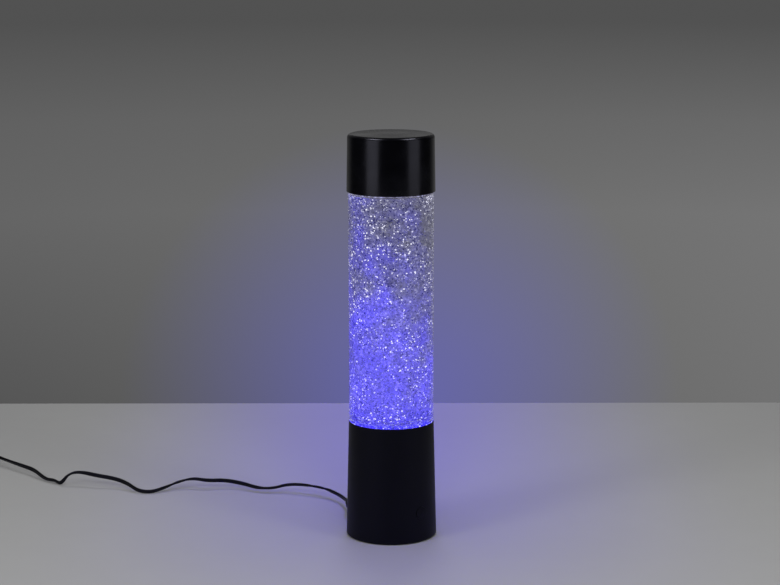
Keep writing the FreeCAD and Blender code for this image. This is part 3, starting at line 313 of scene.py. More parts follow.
def board(name, mask, copper):
    """A circuit board: solder mask with the paler lines of tracks under it."""
    made, tree = new_material(name)
    cells = put(tree, "TexBrick", {
        "Vector": places(tree), "Color1": (0, 0, 0, 1), "Color2": (0.25, 0.25, 0.25, 1),
        "Mortar": (1, 1, 1, 1), "Scale": 240.0, "Mortar Size": 0.012,
    }, offset=0.35, squash=0.6, squash_frequency=3)
    tracks = cells.outputs["Color"]
    normal = put(tree, "Bump", {"Height": tracks, "Strength": 0.3, "Distance": 0.05 * MM})
    shader = put(tree, "BsdfPrincipled", {
        "Base Color": mixed(tree, tracks, (*mask, 1), (*copper, 1)),
        "Roughness": spread(tree, tracks, 0, 1, 0.42, 0.3),
        "Normal": normal.outputs["Normal"],
    })
    finish_surface(tree, shader)
    return made


# How far out the painted glow of the floor moulding gives way to that of its rim
RIM_GLOW_FROM_R = 0.036
RIM_GLOW_FULL_R = 0.0363


def add_ring_glow(tree, glass, colour, floor_glow, rim_glow):
    """The painted glow of the light ring in a clear moulding: in patches, flecked with glitter and
    painted glints, over its floor, and an even one at its rim."""
    x, y, z = put(tree, "SeparateXYZ", {"Vector": places(tree)}).outputs
    squares = math_node(tree, "MULTIPLY_ADD", x, x, product(tree, y, y))
    out = math_node(tree, "SQRT", squares)
    lit = spread(tree, grain(tree, 130.0), 0.35, 0.65, 0.5 * floor_glow, 1.5 * floor_glow)
    inside = spread(tree, out, RIM_GLOW_FROM_R, RIM_GLOW_FULL_R, 1.0, 0.0)
    rim = spread(tree, out, RIM_GLOW_FROM_R, RIM_GLOW_FULL_R, 0.0, rim_glow)
    lit = math_node(tree, "ADD", product(tree, lit, inside), rim)
    tree.links.new(lit, glass.inputs["Emission Strength"])
    dim = tuple(0.4 * c for c in colour)
    fleck = ramp(tree, specks(tree, 700.0), (0.2, dim), (0.6, colour), (0.82, colour),
                 (0.9, (0.9, 0.9, 1.6)))
    tree.links.new(fleck, glass.inputs["Emission Color"])


def clear_moulding(name, glow=(0, 0, 0), floor_glow=0.0, rim_glow=0.0, tint=(1, 1, 1)):
    """Clear acrylic that lets lamps through, with a painted glow where the light ring reaches it.
    """
    made, tree = new_material(name)
    dim = tuple(0.97 * c for c in tint)
    glass = put(tree, "BsdfPrincipled", {
        "Base Color": mottle(tree, grain(tree, 30.0), dim, tint),
        "Transmission Weight": 1.0, "IOR": 1.49, "Roughness": 0.0, "Emission Strength": 0.0,
    })
    if rim_glow:
        add_ring_glow(tree, glass, glow, floor_glow, rim_glow)
    finish_surface(tree, passing_lamps(tree, glass, (0.93, 0.94, 1)))
    return made


# Lead


LEAD_WIDTH = 0.004
LEAD_THICKNESS = 0.002
LEAD_Z = 0.011
BOOT_END = (0.0, 0.049858, LEAD_Z)
LEAD_ROUTE = (
    (0.0, 0.0583, LEAD_Z),
    (0.006, 0.067, 0.0105),
    (0.016, 0.077, 0.0088),
    (0.0238, 0.0905, 0.0068),
    (0.0295, 0.106, 0.0065),
    (0.0295, 0.1255, 0.0083),
    (0.0215, 0.145, 0.009),
    (0.014, 0.1605, 0.0075),
    (0.0025, 0.167, 0.0045),
    (-0.0065, 0.178, 0.004),
    (-0.01, 0.198, 0.0053),
    (-0.0195, 0.213, 0.007),
    (-0.0345, 0.22, 0.0078),
    (-0.0415, 0.2325, 0.009),
    (-0.054, 0.239, 0.0066),
    (-0.0705, 0.2395, 0.0034),
    (-0.0845, 0.2412, 0.0018),
    (-0.0913, 0.2525, 0.0022),
    (-0.091, 0.268, 0.0057),
    (-0.095, 0.283, 0.0082),
    (-0.106, 0.2965, 0.0104),
    (-0.112, 0.3105, 0.0117),
    (-0.1178, 0.3178, 0.0115),
    (-0.1245, 0.3191, 0.0094),
    (-0.1274, 0.321, 0.005),
    (-0.1295, 0.3246, 0.0012),
    (-0.1303, 0.3325, 0.0032),
    (-0.1322, 0.3415, 0.0022),
    (-0.132, 0.3525, 0.0034),
    (-0.1296, 0.369, 0.0058),
    (-0.1305, 0.393, 0.0059),
    (-0.132, 0.4155, 0.0066),
)
COIL_CENTRE = (-0.159, 0.442)
COIL_R = 0.027
COIL_INNER_R = 0.01375
COIL_LOW_Z = 0.002
COIL_HIGH_Z = 0.0069
COIL_HALF_TURNS = 11
TAIL_ROUTE = (
    (-0.186, 0.426, 0.002),
    (-0.1885, 0.417, 0.0028),
    (-0.193, 0.4085, 0.004),
    (-0.19775, 0.40027, 0.004),
)


def coil_points():
    """The put-away coil: in towards the middle on one layer and out again below it."""
    per_turn = 16
    found = []
    for k in range(COIL_HALF_TURNS * per_turn // 2 + 1):
        turns = 2 * k / per_turn
        inward = (COIL_HALF_TURNS - 1) / 2
        step = (COIL_R - COIL_INNER_R) / inward
        radius = COIL_INNER_R + step * (max(0, inward - turns) + max(0, turns - inward - 1))
        down = min(1, max(0, turns - inward))
        down = down * down * (3 - 2 * down)
        angle = math.pi * turns
        out = radius / math.cos(math.pi / per_turn)
        found.append((
            COIL_CENTRE[0] + out * math.cos(angle),
            COIL_CENTRE[1] + out * math.sin(angle),
            COIL_HIGH_Z + (COIL_LOW_Z - COIL_HIGH_Z) * down,
        ))
    return found


def smooth_line(points):
    """The points of the smooth spline that has these control points."""
    curve = bpy.data.curves.new("route", "CURVE")
    curve.dimensions = "3D"
    curve.resolution_u = 8
    spline = curve.splines.new("NURBS")
    spline.points.add(len(points) - 1)
    for point, place in zip(spline.points, points):
        point.co = (*place, 1)
    spline.order_u = 3
    spline.use_endpoint_u = True
    holder = bpy.data.objects.new("route", curve)
    mesh = bpy.data.meshes.new_from_object(holder)
    line = [v.co.copy() for v in mesh.vertices]
    bpy.data.meshes.remove(mesh)
    bpy.data.curves.remove(curve)
    return line


def lead_section(width, thickness, count=9):
    """The outline of a twin lead: two round cores side by side, with a groove between."""
    core = thickness / 2
    offset = (width - thickness) / 2
    reach = math.radians(140)
    found = []
    for side in (1, -1):
        for k in range(count):
            angle = -reach + 2 * reach * k / (count - 1)
            found.append((side * (offset + core * math.cos(angle)), side * core * math.sin(angle)))
    return found


# Along the lead, how far its wide side is turned up from flat: (metres from the boot, degrees)
LEAD_TWIST = (
    (0.0, 90),
    (0.02, 80),
    (0.055, 78),
    (0.075, 58),
    (0.085, 14),
    (0.094, 8),
    (0.102, 38),
    (0.12, 42),
    (0.134, 34),
    (0.144, 30),
    (0.153, 62),
    (0.176, 84),
    (0.19, 72),
    (0.207, 60),
    (0.215, 48),
    (0.225, 12),
    (0.232, 3),
    (0.24, 34),
    (0.248, 56),
    (0.265, 60),
    (0.28, 78),
    (0.3, 90),
    (0.328, 88),
    (0.336, 66),
    (0.343, 42),
    (0.35, 26),
    (0.356, 40),
    (0.364, 52),
    (0.379, 50),
    (0.391, 86),
    (0.413, 90),
    (0.434, 72),
    (0.455, 55),
    (0.475, 60),
    (0.5, 90),
    (1.3, 90),
)


def make_lead(material):
    """The flat twin lead, from the boot through its curves and its coil to the plug."""
    points = [BOOT_END, *LEAD_ROUTE, *coil_points(), *TAIL_ROUTE]
    line = smooth_line(points)
    along, at = [0.0], 0.0
    for a, b in zip(line, line[1:]):
        at += (b - a).length
        along.append(at)
    twist = np.interp(along, *zip(*LEAD_TWIST))
    section = lead_section(LEAD_WIDTH, LEAD_THICKNESS)
    found, faces = [], []
    for i, here in enumerate(line):
        ahead = (line[min(i + 1, len(line) - 1)] - line[max(i - 1, 0)]).normalized()
        flat = Vector((0, 0, 1)).cross(ahead).normalized()
        upright = ahead.cross(flat)
        turn = math.radians(twist[i])
        wide = flat * math.cos(turn) + upright * math.sin(turn)
        thin = ahead.cross(wide)
        found += [here + wide * u + thin * v for u, v in section]
    n = len(section)
    for i in range(len(line) - 1):
        for k in range(n):
            j = (k + 1) % n
            faces.append((i * n + k, i * n + j, (i + 1) * n + j, (i + 1) * n + k))
    faces.append(tuple(reversed(range(n))))
    faces.append(tuple(range(len(found) - n, len(found))))
    lead = add_mesh("lead", found, faces, material, smooth_below=50)
    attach(lead, "body")
    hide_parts("cord_run", "cord_coil", "cord_tail")


# Cap


CAP_R = 0.0378
CAP_DRAFT = 0.7 * MM
CAP_WALL = 1.8 * MM
CAP_LIP = 0.4 * MM
CAP_EDGE_R = 3.2 * MM
CAP_LOW_Z = CLOSURE_Z + 2 * MM
CAP_TOP_Z = CAD_BOX[1][2]


def make_cap(material):
    """The cap, open below, with its well-rounded top edge."""
    top_r = CAP_R - CAP_DRAFT
    outline = [(0, CAP_TOP_Z - CAP_WALL), (top_r - CAP_WALL, CAP_TOP_Z - CAP_WALL),
               (CAP_R - CAP_WALL, CAP_LOW_Z), (CAP_R - CAP_LIP, CAP_LOW_Z),
               (CAP_R, CAP_LOW_Z + CAP_LIP)]
    steps = 8
    for k in range(steps + 1):
        turn = math.pi / 2 * k / steps
        outline.append((top_r - CAP_EDGE_R * (1 - math.cos(turn)),
                        CAP_TOP_Z - CAP_EDGE_R * (1 - math.sin(turn))))
    outline.append((0, CAP_TOP_Z))
    made = lathe("cap", outline, material, count=128)
    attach(made, "body")
    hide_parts("top_cap")
    return made


# Liquid and glitter


# How far the liquid reaches into what it wets, so that no gap shows between them
WET = 0.04 * MM

CLOUD_LOW_Z = 0.1062
CLOUD_HIGH_Z = 0.2966
CLOUD_LOW_R = 0.0285
CLOUD_HIGH_R = 0.0262

# The flakes that float in front of the cloud, and those that lie on the floor
SEED = 5
LOOSE_COUNT = 24000
LOOSE_SIZE = 0.0012
LOOSE_INNER_R = 0.0245
LOOSE_OUTER_R = 0.0328
SETTLED_COUNT = 420
SETTLED_SIZE = 0.0011
SETTLED_R = 0.0306

# A flake's tone goes from 0, deep, to 1, a white painted glint. Beyond these two it faces outward
DEEP_TONE = 0.22
GLINT_TONE = 0.88


def swirl(place):
    """How thick the glitter is at a place, from streams that wind up round the tube."""
    turn_per_metre = 9.0
    wound = place.copy()
    wound.rotate(Matrix.Rotation(place.z * turn_per_metre, 3, "Z"))
    wide = noise.noise(Vector((wound.x * 45, wound.y * 45, place.z * 28)))
    fine = noise.noise(Vector((wound.x * 120 + 7, wound.y * 120, place.z * 75)))
    return 0.5 + 0.7 * wide + 0.35 * fine


def make_liquid(material):
    """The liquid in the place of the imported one. It wets the tube, its floor and its closure."""
    foot_r = SPIGOT_BORE_R + WET
    wall_r = BORE_R + WET
    low_z = FLOOR_Z - WET
    step_z = SPIGOT_TOP_Z - WET
    bevel = 0.3 * MM
    outline = [(0, low_z), (foot_r - bevel, low_z), (foot_r, low_z + bevel),
               (foot_r, step_z), (wall_r, step_z)]
    outline += [(wall_r, z) for z in np.linspace(0.112, CLOSURE_Z - 0.004, 20)]
    outline += [(wall_r, CLOSURE_Z + WET), (0, CLOSURE_Z + WET)]
    made = lathe("liquid", outline, material)
    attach(made, "body")
    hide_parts("glitter_fluid")


def make_cloud(material):
    """The glitter deep in the liquid, seen as one lit cloud, wider low down than at the top."""
    outline = [(0, CLOUD_LOW_Z - 2 * MM), (0.012, CLOUD_LOW_Z - 1.5 * MM),
               (0.022, CLOUD_LOW_Z), (CLOUD_LOW_R - 1 * MM, CLOUD_LOW_Z + 3 * MM)]
    side = np.linspace(CLOUD_LOW_Z + 8 * MM, CLOUD_HIGH_Z - 6 * MM, 60)
    ends = (side[0], side[-1])
    outline += [(float(np.interp(z, ends, (CLOUD_LOW_R, CLOUD_HIGH_R))), z) for z in side]
    outline += [(CLOUD_HIGH_R - 1.5 * MM, CLOUD_HIGH_Z - 2.5 * MM),
                (0.02, CLOUD_HIGH_Z - 0.6 * MM), (0, CLOUD_HIGH_Z)]

    def lumpy(point):
        out = 1 + 0.12 * (swirl(point) - 0.5)
        return Vector((point.x * out, point.y * out, point.z))

    made = lathe("glitter_cloud", outline, material, count=120, shape=lumpy)
    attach(made, "body")


def add_flakes(name, flakes, material):
    """One mesh of hexagonal flakes, each given as (place, facing, width, turn, tone)."""
    found, faces = [], []
    for place, facing, width, turn, tone in flakes:
        across = facing.orthogonal().normalized()
        other = facing.cross(across)
        start = len(found)
        for k in range(6):
            a = turn + k * math.pi / 3
            found.append(place + (across * math.cos(a) + other * math.sin(a)) * (width / 2))
        faces.append(tuple(range(start, start + 6)))
    mesh = bpy.data.meshes.new(name)
    mesh.from_pydata([tuple(p) for p in found], [], faces)
    mesh.materials.append(material)
    tones = mesh.attributes.new("tone", "FLOAT", "FACE")
    tones.data.foreach_set("value", [flake[-1] for flake in flakes])
    made = bpy.data.objects.new(name, mesh)
    bpy.context.scene.collection.objects.link(made)
    made.visible_shadow = False
    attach(made, "body")


def loose_flakes(rng):
    """Flakes afloat in front of the cloud, in streams; the palest and deepest face outward."""
    made = []
    while len(made) < LOOSE_COUNT:
        radius = rng.uniform(LOOSE_INNER_R, LOOSE_OUTER_R)
        angle = rng.uniform(0, 2 * math.pi)
        z = rng.uniform(SPIGOT_TOP_Z + 1.5 * MM, CLOSURE_Z - 1 * MM)
        place = Vector((radius * math.cos(angle), radius * math.sin(angle), z))
        thick = swirl(place)
        thinning = min(1, (z - SPIGOT_TOP_Z) / (5 * MM))
        if rng.uniform() > (thick + 0.12) * thinning:
            continue
        tone = min(1.0, max(0.0, rng.uniform() + 0.12 * (thick - 0.6)))
        width = LOOSE_SIZE * rng.uniform(0.65, 1.25)
        facing = Vector(rng.normal(size=3)).normalized()
        if tone > GLINT_TONE or tone < DEEP_TONE:
            facing = (facing + Vector((place.x, place.y, 0)).normalized()).normalized()
            width *= 1.15
        made.append((place, facing, width, rng.uniform(0, math.pi), tone))
    return made


def settled_flakes(rng):
    """Flakes that lie on the tube's floor, each a little tilted, one in six pale painted glints.
    """
    made = []
    for _ in range(SETTLED_COUNT):
        radius = SETTLED_R * math.sqrt(rng.uniform(0, 1))
        angle = rng.uniform(0, 2 * math.pi)
        place = Vector((radius * math.cos(angle), radius * math.sin(angle),
                        FLOOR_Z + rng.uniform(1.2 * MM, 2.8 * MM)))
        facing = (Vector(rng.normal(size=3)) * 0.4 + Vector((0, 0, 1))).normalized()
        width = SETTLED_SIZE * rng.uniform(0.7, 1.3)
        tone = rng.uniform(0.1, 0.75) if rng.uniform() > 0.16 else rng.uniform(0.8, 1.0)
        made.append((place, facing, width, rng.uniform(0, math.pi), tone))
    return made


def make_bed(material):
    """The glitter that has sunk: an uneven bed over the floor."""
    edge_r = SPIGOT_BORE_R - 0.6 * MM
    low_z = FLOOR_Z + 0.05 * MM
    high_z = FLOOR_Z + 1 * MM
    steps = 24
    outline = [(0, low_z), (edge_r, low_z), (edge_r, FLOOR_Z + 0.5 * MM)]
    outline += [(edge_r * (1 - k / steps), high_z) for k in range(1, steps + 1)]

    def uneven(point):
        if point.z < FLOOR_Z + 0.1 * MM:
            return point
        lump = noise.noise(Vector((point.x * 160, point.y * 160, 3.0)))
        return point + Vector((0, 0, 0.5 * MM * lump))

    made = lathe("settled_bed", outline, material, shape=uneven)
    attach(made, "body")


def liquid_material():
    """Clear liquid: it bends light as water does, and lets lamps through."""
    made, tree = new_material("liquid")
    water = put(tree, "BsdfPrincipled", {
        "Base Color": mottle(tree, grain(tree, 60.0), (0.95, 0.95, 0.99), (0.98, 0.98, 1)),
        "Transmission Weight": 1.0, "IOR": 1.34, "Roughness": 0.0, "Specular IOR Level": 0.1,
    })
    finish_surface(tree, passing_lamps(tree, water, (0.95, 0.95, 1)))
    return made


def blue_share(tree):
    """How blue the glitter is lit: most low down and on the left, in drifting clouds."""
    height = spread(tree, height_of(tree), 0.12, 0.29, 0.95, 0.1)
    side = spread(tree, place_along(tree, -RIGHT), -0.03, 0.03, -0.12, 0.24)
    cloud = vary(tree, grain(tree, 38.0, 3.0), -0.35, 0.35)
    total = math_node(tree, "ADD", math_node(tree, "ADD", height, side), cloud)
    return math_node(tree, "MAXIMUM", math_node(tree, "MINIMUM", total, 1.0), 0.0)


def lit_colour(tree):
    """The colour that the light ring gives the glitter."""
    return ramp(tree, blue_share(tree), (0.0, (0.13, 0.13, 0.2)), (0.35, (0.12, 0.115, 0.38)),
                (0.7, (0.118, 0.1, 0.78)), (1.0, (0.115, 0.092, 1.0)))


def floor_colour(tree):
    """The painted deeper blue light of what has settled right above the light ring."""
    return ramp(tree, grain(tree, 110.0), (0.35, (0.035, 0.02, 0.75)), (0.65, (0.1, 0.08, 1.0)))


def bed_material():
    """Settled glitter in painted light: deep blue over the light ring, with darker and paler
    flecks.
    """
    made, tree = new_material("settled_bed")
    fleck = ramp(tree, specks(tree, 850.0), (0.0, (0.012, 0.006, 0.3)),
                 (0.3, (0.03, 0.015, 0.6)), (0.6, (0.055, 0.035, 0.9)),
                 (0.86, (0.11, 0.09, 1.0)), (0.95, (0.5, 0.5, 1.0)))
    shader = put(tree, "BsdfPrincipled", {
        "Base Color": (0.02, 0.02, 0.06, 1), "Roughness": 0.5, "Specular IOR Level": 0.1,
        "Emission Color": fleck,
        "Emission Strength": spread(tree, grain(tree, 120.0), 0.35, 0.65, 0.6, 1.15),
    })
    finish_surface(tree, shader)
    made.cycles.emission_sampling = "NONE"
    return made


def cloud_material():
    """The lit cloud: its own light stands for what the deep glitter sends back."""
    made, tree = new_material("glitter_cloud")
    # Painted sparkle: the cloud's light made dimmer or brighter in small cells, a few far brighter
    # as glints.
    painted_sparkle = ramp(tree, specks(tree, 620.0), (0.0, (0.5, 0.5, 0.5)), (0.3, (0.85, 0.85, 0.85)),
                  (0.8, (1.15, 1.15, 1.1)), (0.95, (2.0, 2.0, 1.5)))
    height = height_of(tree)
    low = spread(tree, height, CLOUD_LOW_Z + 3 * MM, CLOUD_LOW_Z + 11 * MM, 1.0, 0.0)
    lit = tinted(tree, mixed(tree, low, lit_colour(tree), floor_colour(tree)), painted_sparkle)
    shader = put(tree, "BsdfPrincipled", {
        "Base Color": (0.02, 0.02, 0.05, 1), "Roughness": 0.6, "Specular IOR Level": 0.1,
        "Emission Color": lit, "Emission Strength": 1.0,
    })
    foot = spread(tree, height, CLOUD_LOW_Z, CLOUD_LOW_Z + 4 * MM, 0.6, 1.0)
    head = spread(tree, height, CLOUD_HIGH_Z - 6 * MM, CLOUD_HIGH_Z, 1.0, 0.4)
    solid = product(tree, product(tree, vary(tree, grain(tree, 60.0), 0.8, 0.97), foot), head)
    finish_surface(tree, mixed_shader(tree, solid, put(tree, "BsdfTransparent"), shader))
    made.cycles.emission_sampling = "NONE"
    return made


def flake_material(name, ring_colour):
    """Metallised film in painted light: deep, mid, pale and white flakes, all in the light of the
    ring below, the whitest of them painted glints.
    """
    made, tree = new_material(name)
    tone = put(tree, "Attribute", attribute_name="tone").outputs["Fac"]
    strength = put(tree, "FloatCurve", {"Value": tone})
    curve = strength.mapping.curves[0]
    for at, value in ((DEEP_TONE, 0.14), (0.3, 0.44), (0.7, 0.62), (0.8, 0.72), (0.93, 0.9)):
        curve.points.new(at, value)
    curve.points[0].location = (0.0, 0.08)
    curve.points[-1].location = (1.0, 1.0)
    deep = ramp(tree, tone, (0.0, (0.8, 0.8, 2.6)), (0.2, (0.8, 0.8, 2.0)), (0.3, (1, 1, 1.1)))
    coloured = tinted(tree, ring_colour(tree), deep)
    # Painted glints: the palest flakes glow white, a little bluer where the glitter is lit blue.
    white = ramp(tree, blue_share(tree), (0.4, (0.55, 0.55, 0.64)), (1.0, (0.52, 0.49, 0.86)))
    pale = ramp(tree, tone, (0.0, (0, 0, 0)), (0.72, (0.03, 0.03, 0.03)), (0.8, (0.3, 0.3, 0.3)),
                (0.9, (0.7, 0.7, 0.7)), (0.95, (1, 1, 1)))
    shader = put(tree, "BsdfPrincipled", {
        "Base Color": (0.03, 0.03, 0.08, 1), "Metallic": 0.8,
        "Roughness": vary(tree, grain(tree, 900.0), 0.22, 0.34),
        "Emission Color": mixed(tree, pale, coloured, white),
        "Emission Strength": product(tree, strength.outputs[0], 2.0),
    })
    finish_surface(tree, shader)
    made.cycles.emission_sampling = "NONE"
    return made


def make_glitter():
    """The loose flakes, the settled ones, the bed under them and the cloud behind them."""
    rng = np.random.default_rng(SEED)
    loose = loose_flakes(rng)
    settled = settled_flakes(rng)
    add_flakes("glitter_flakes", loose, flake_material("glitter_flakes", lit_colour))
    add_flakes("settled_flakes", settled, flake_material("settled_flakes", floor_colour))
    make_bed(bed_material())
    make_cloud(cloud_material())


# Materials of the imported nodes


def dress(material, *names):
    """Gives these nodes the material."""
    for name in names:
        mesh = NODES[name].data
        mesh.materials.clear()
        mesh.materials.append(material)
        mesh.polygons.foreach_set("material_index", [0] * len(mesh.polygons))


def light_material():
    """The lit face of the LEDs, paler in the middle of each."""
    made, tree = new_material("led")
    cells = put(tree, "TexVoronoi", {"Vector": places(tree), "Scale": 200.0})
    glow = ramp(tree, cells.outputs["Distance"], (0.0, (0.6, 0.6, 1.0)), (0.4, (0.1, 0.08, 1.0)))
    shader = put(tree, "BsdfPrincipled", {
        "Base Color": (0.8, 0.8, 0.7, 1), "Roughness": 0.3,
        "Emission Color": glow, "Emission Strength": 3.0,
    })
    finish_surface(tree, shader)
    return made


def dress_nodes():
    """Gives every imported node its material. Returns those of the lead and the cap."""
    black = moulded("base_plastic", (0.0016, 0.0016, 0.002), (0.0024, 0.0024, 0.003), rough=0.5,
                    grain_mm=0.35, bump=0.25, specular=0.15, gloss_tint=(1, 1, 1.6))
    satin = moulded("cap_plastic", (0.0009, 0.0009, 0.002), (0.0015, 0.0015, 0.003), rough=0.24,
                    grain_mm=0.25, bump=0.05, specular=0.45, gloss_tint=(1, 1, 1.25))
    rubber = moulded("rubber", (0.012, 0.012, 0.012), (0.02, 0.02, 0.02), rough=0.75,
                     grain_mm=0.3, bump=0.4)
    jacket = moulded("lead_jacket", (0.002, 0.002, 0.0028), (0.004, 0.004, 0.005), rough=0.45,
                     grain_mm=0.5, bump=0.15, specular=0.2, gloss_tint=(1, 1, 1.5))
    white = moulded("white_plastic", (0.7, 0.7, 0.68), (0.8, 0.8, 0.77), rough=0.45,
                    grain_mm=0.4, bump=0.2)
    grey = moulded("grey_plastic", (0.11, 0.11, 0.12), (0.16, 0.16, 0.17), rough=0.5,
                   grain_mm=0.4, bump=0.2)
    insulation = moulded("wire", (0.28, 0.02, 0.02), (0.4, 0.035, 0.03), rough=0.4,
                         grain_mm=0.5, bump=0.1)
    magnet = metal("magnet", (0.42, 0.42, 0.44), (0.56, 0.56, 0.58), rough=0.25, scale=400.0)
    steel = metal("steel", (0.5, 0.5, 0.51), (0.66, 0.66, 0.67), rough=0.28, scale=300.0,
                  stretch=(1, 1, 12))
    gold = metal("gold", (0.75, 0.52, 0.18), (0.9, 0.68, 0.3), rough=0.2, scale=500.0)
    clear = clear_moulding("clear_tube")
    top = clear_moulding("clear_closure", glow=(0.5, 0.48, 0.75), rim_glow=0.4)
    floor = clear_moulding("clear_floor", glow=(0.05, 0.03, 1), floor_glow=0.2, rim_glow=0.7,
                           tint=(0.4, 0.35, 1))
    circuit = board("circuit_board", (0.012, 0.09, 0.035), (0.06, 0.24, 0.09))
    ring = board("light_board", (0.72, 0.73, 0.73), (0.55, 0.56, 0.56))
    dress(black, "base_shell", "power_button", "bottom_cover")
    dress(rubber, "rubber_feet", "strain_relief", "filler_stopper")
    dress(jacket, "plug_body")
    dress(white, "plug_tongue", "stirrer")
    dress(clear, "clear_tube")
    dress(top, "top_closure")
    dress(floor, "tube_floor", "stirrer_guard")
    dress(gold, "plug_contacts")
    dress(light_material(), "leds")
    dress(grey, "switch_body", "switch_plunger", "motor_mount", "magnet_carrier", "board_parts",
          "motor_end_cap")
    dress(steel, "plug_shell", "cover_screws", "board_screws", "clamp_screws", "motor_can",
          "drive_shaft", "motor_screws", "led_screws", "stirrer_pin")
    dress(magnet, "motor_magnets", "drive_magnets", "stirrer_magnets", "motor_rotor")
    dress(insulation, "power_wires", "motor_wires", "led_wires")
    dress(circuit, "control_board")
    dress(ring, "led_board")
    return jacket, satin


# Stage


TABLE_HALF_WIDTH = 1.6
TABLE_FRONT = -1.25
TABLE_BACK = 0.482
TABLE_TONE = 0.3

# Painted shadow of the lamp: the table is darker by this factor near it and behind it, and less so
# farther out
PAINTED_SHADOW = 0.84
PAINTED_SHADOW_FULL_R = 0.05
PAINTED_SHADOW_END_R = 0.24
PAINTED_SHADOW_LENGTH = 0.4

WALL_R = 5.0
WALL_LOW_Z = -1.6
WALL_HIGH_Z = 4.0

# The part of the wall that the picture shows
SEEN_LOW_Z = -1.1
SEEN_HIGH_Z = 0.2
SEEN_HALF_WIDTH = 1.25

# The wall's painted light and shade as (place, tone), with place 0 at SEEN_LOW_Z and 1 at
# TONES_END_Z
TONES_END_Z = 0.3
WALL_TONES = ((0.0, 0.13), (0.47, 0.158), (0.68, 0.136), (0.9, 0.089))

# Painted side light: what the tone is multiplied by at each side of that part, low down and high
# up
LEFT_TONES = (0.69, 0.94)
RIGHT_TONES = (1.27, 0.94)

# Where the lamp's painted blue glow is strongest on the wall, and how it fades
HALO_MIDDLE = LOOK * WALL_R + RIGHT * 0.03 + Vector((0, 0, -1.08))
HALO_FULL_R = 0.1
HALO_END_R = 0.92
HALO_POWER = 1.2
HALO_STRENGTH = 1.87


def grey_tone(tone):
    """A grey of this tone."""
    return (tone, tone, tone)


def table_material():
    """A plain table with a very faint mottle, and a painted shadow round the lamp and behind it.
    """
    made, tree = new_material("table")
    tone = mottle(tree, grain(tree, 30.0, 4.0), grey_tone(0.985 * TABLE_TONE),
                  grey_tone(TABLE_TONE))
    # The painted shadow reaches round the lamp and along a line behind it.
    behind = spread(tree, place_along(tree, LOOK), 0.0, PAINTED_SHADOW_LENGTH, 0.0, PAINTED_SHADOW_LENGTH)
    behind = put(tree, "VectorMath", {0: LOOK, "Scale": behind}, operation="SCALE").outputs[0]
    out = put(tree, "VectorMath", {0: places(tree), 1: behind}, operation="DISTANCE")
    painted_shadow = spread(tree, out.outputs["Value"], PAINTED_SHADOW_FULL_R, PAINTED_SHADOW_END_R, PAINTED_SHADOW, 1.0)
    shader = put(tree, "BsdfPrincipled", {
        "Base Color": tinted(tree, tone, painted_shadow), "Roughness": 0.65, "Specular IOR Level": 0.25,
    })
    finish_surface(tree, shader)
    return made


def wall_material():
    """A grey wall, its colour painted as lit from below and from the right, with a painted blue
    glow of the lamp behind it. It lights nothing, and reflections show all but its far part dim."""
    made, tree = new_material("wall")
    height = height_of(tree)
    tone = ramp(tree, spread(tree, height, SEEN_LOW_Z, TONES_END_Z, 0.0, 1.0),
                *((at, grey_tone(tone)) for at, tone in WALL_TONES))
    left = spread(tree, height, SEEN_LOW_Z, SEEN_HIGH_Z, *LEFT_TONES)
    right = spread(tree, height, SEEN_LOW_Z, SEEN_HIGH_Z, *RIGHT_TONES)
    side = spread(tree, place_along(tree, RIGHT), -SEEN_HALF_WIDTH, SEEN_HALF_WIDTH, left, right)
    tone = product(tree, tone, side)
    # A painted blue glow of the lamp, added to the wall's blue only.
    out = put(tree, "VectorMath", {0: places(tree), 1: HALO_MIDDLE}, operation="DISTANCE")
    halo = spread(tree, out.outputs["Value"], HALO_FULL_R, HALO_END_R, 1.0, 0.0)
    halo = product(tree, math_node(tree, "POWER", halo, HALO_POWER), HALO_STRENGTH)
    blue = math_node(tree, "MULTIPLY_ADD", tone, halo, tone)
    path = put(tree, "LightPath").outputs
    seen = math_node(tree, "ADD", path["Is Camera Ray"], path["Is Transmission Ray"])
    ahead = spread(tree, place_along(tree, LOOK), 2.5, 4.0, 0.15, 1.0)
    seen = math_node(tree, "MULTIPLY_ADD", path["Is Glossy Ray"], ahead, seen)
    colour = put(tree, "CombineColor", {"Red": tone, "Green": tone, "Blue": blue})
    finish_surface(tree, put(tree, "Emission", {"Color": colour.outputs[0], "Strength": seen}))
    made.cycles.emission_sampling = "NONE"
    return made


def make_stage():
    """The table, which ends behind the lamp, and a round wall far behind it."""
    corners = [RIGHT * side * TABLE_HALF_WIDTH + LOOK * end for side, end in (
        (-1, TABLE_FRONT), (1, TABLE_FRONT), (1, TABLE_BACK), (-1, TABLE_BACK))]
    table = add_mesh("table", corners, [(0, 1, 2, 3)], table_material())
    outline = [(WALL_R, WALL_LOW_Z), (WALL_R, WALL_HIGH_Z)]
    wall = lathe("wall", outline, wall_material(), count=64)
    return table


# Lights


AIM_Z = 0.2
EVEN_LIGHT = 0.04
GLOW_PLACE = LOOK * 0.31 + Vector((0, 0, 0.35))
GLOW_SIZE = (0.1, 0.9)
GLOW_POWER = 1.1
GLOW_COLOUR = (0.055, 0.0, 1.0)
GLOW_SPREAD = math.radians(87)

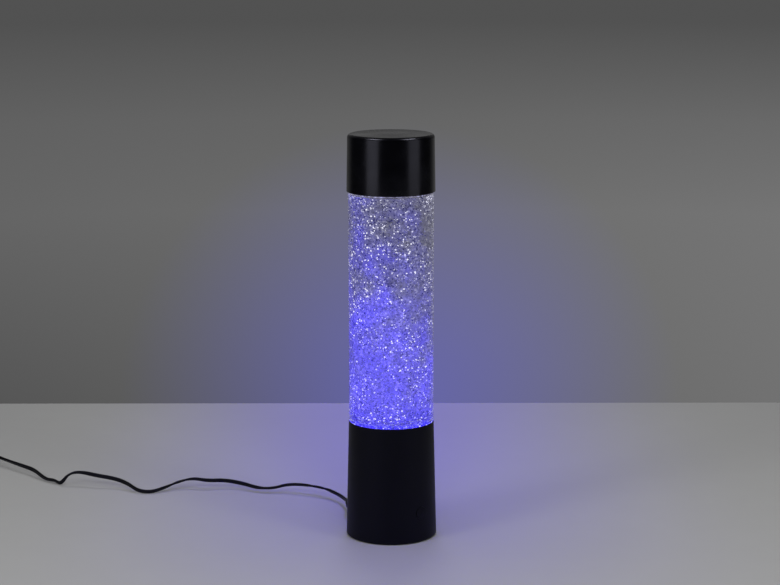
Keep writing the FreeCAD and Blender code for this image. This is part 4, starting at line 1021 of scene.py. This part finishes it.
# Soft boxes that face the lamp: name, degrees to the right of the camera, elevation, distance,
# width and height, radiance, and what they light
BOXES = (
    ("box_left", -49, 13.8, 1.3, (0.75, 0.8), 0.85, "all"),
    ("box_right", 62, 13.8, 1.3, (0.75, 0.8), 0.6, "all"),
    ("box_back", 180, 13, 3.4, (1.6, 0.6), 0.17, "all"),
    ("rim_left", -66, 60, 1.3, (0.5, 0.35), 5.7, "cap"),
    ("rim_right", 76, 60, 1.3, (0.5, 0.35), 5.7, "cap"),
    ("side_left", -49, 28, 1.6, (0.4, 0.4), 12, "table"),
    ("side_right", 50, 28, 1.6, (0.4, 0.4), 11.5, "table"),
    ("side_back", 180, 48, 3.0, (1.0, 0.5), 12, "table"),
    ("side_front", 5, 33, 2.2, (1.1, 0.7), 8.6, "table"),
    ("overhead", 0, 76, 1.7, (2.2, 2.2), 1.1, "all but cap"),
)


def area_light(name, size, power):
    """An area light that the camera does not see, to be moved into its place."""
    data = bpy.data.lights.new(name, "AREA")
    data.shape = "RECTANGLE"
    data.size, data.size_y = size
    data.energy = power
    made = bpy.data.objects.new(name, data)
    made.visible_camera = False
    bpy.context.scene.collection.objects.link(made)
    return made


def soft_box(name, angle, elevation, distance, size, radiance):
    """A soft box that faces the lamp."""
    a = math.radians(angle)
    e = math.radians(elevation)
    out = (LOOK * -math.cos(a) + RIGHT * math.sin(a)) * math.cos(e) + Vector((0, 0, math.sin(e)))
    made = area_light(name, size, radiance * math.pi * size[0] * size[1])
    made.location = out * distance + Vector((0, 0, AIM_Z))
    made.rotation_mode = "QUATERNION"
    made.rotation_quaternion = out.to_track_quat("Z", "Y")
    return made


def lamp_glow():
    """The blue light that the tube throws on the table, most of it on the far side."""
    made = area_light("lamp_glow", GLOW_SIZE, GLOW_POWER)
    made.data.color = GLOW_COLOUR
    made.data.spread = GLOW_SPREAD
    made.location = GLOW_PLACE
    made.rotation_euler = (0, 0, -TURN)
    made.visible_glossy = made.visible_transmission = False
    return made


def light_group(name, piece, state="INCLUDE"):
    """A group of one piece that a light reaches alone, or leaves out."""
    group = bpy.data.collections.new(name)
    group.objects.link(piece)
    group.collection_objects[0].light_linking.link_state = state
    return group


def make_lights(cap, table):
    """The soft boxes, the lamp's own glow on the table and a faint even light all round."""
    groups = {
        "cap": light_group("cap_alone", cap),
        "table": light_group("table_alone", table),
        "all but cap": light_group("cap_left_out", cap, "EXCLUDE"),
    }
    for *how, lit in BOXES:
        box = soft_box(*how)
        if lit in groups:
            box.light_linking.receiver_collection = groups[lit]
    lamp_glow().light_linking.receiver_collection = groups["table"]
    world = bpy.data.worlds.new("world")
    bpy.context.scene.world = world
    world.use_nodes = True
    back = world.node_tree.nodes["Background"]
    back.inputs["Color"].default_value = (1, 1, 1, 1)
    back.inputs["Strength"].default_value = EVEN_LIGHT


bpy.context.scene.view_settings.view_transform = "Standard"
make_camera()
table = make_stage()
jacket, satin = dress_nodes()
make_lead(jacket)
cap = make_cap(satin)
make_lights(cap, table)
make_liquid(liquid_material())
make_glitter()
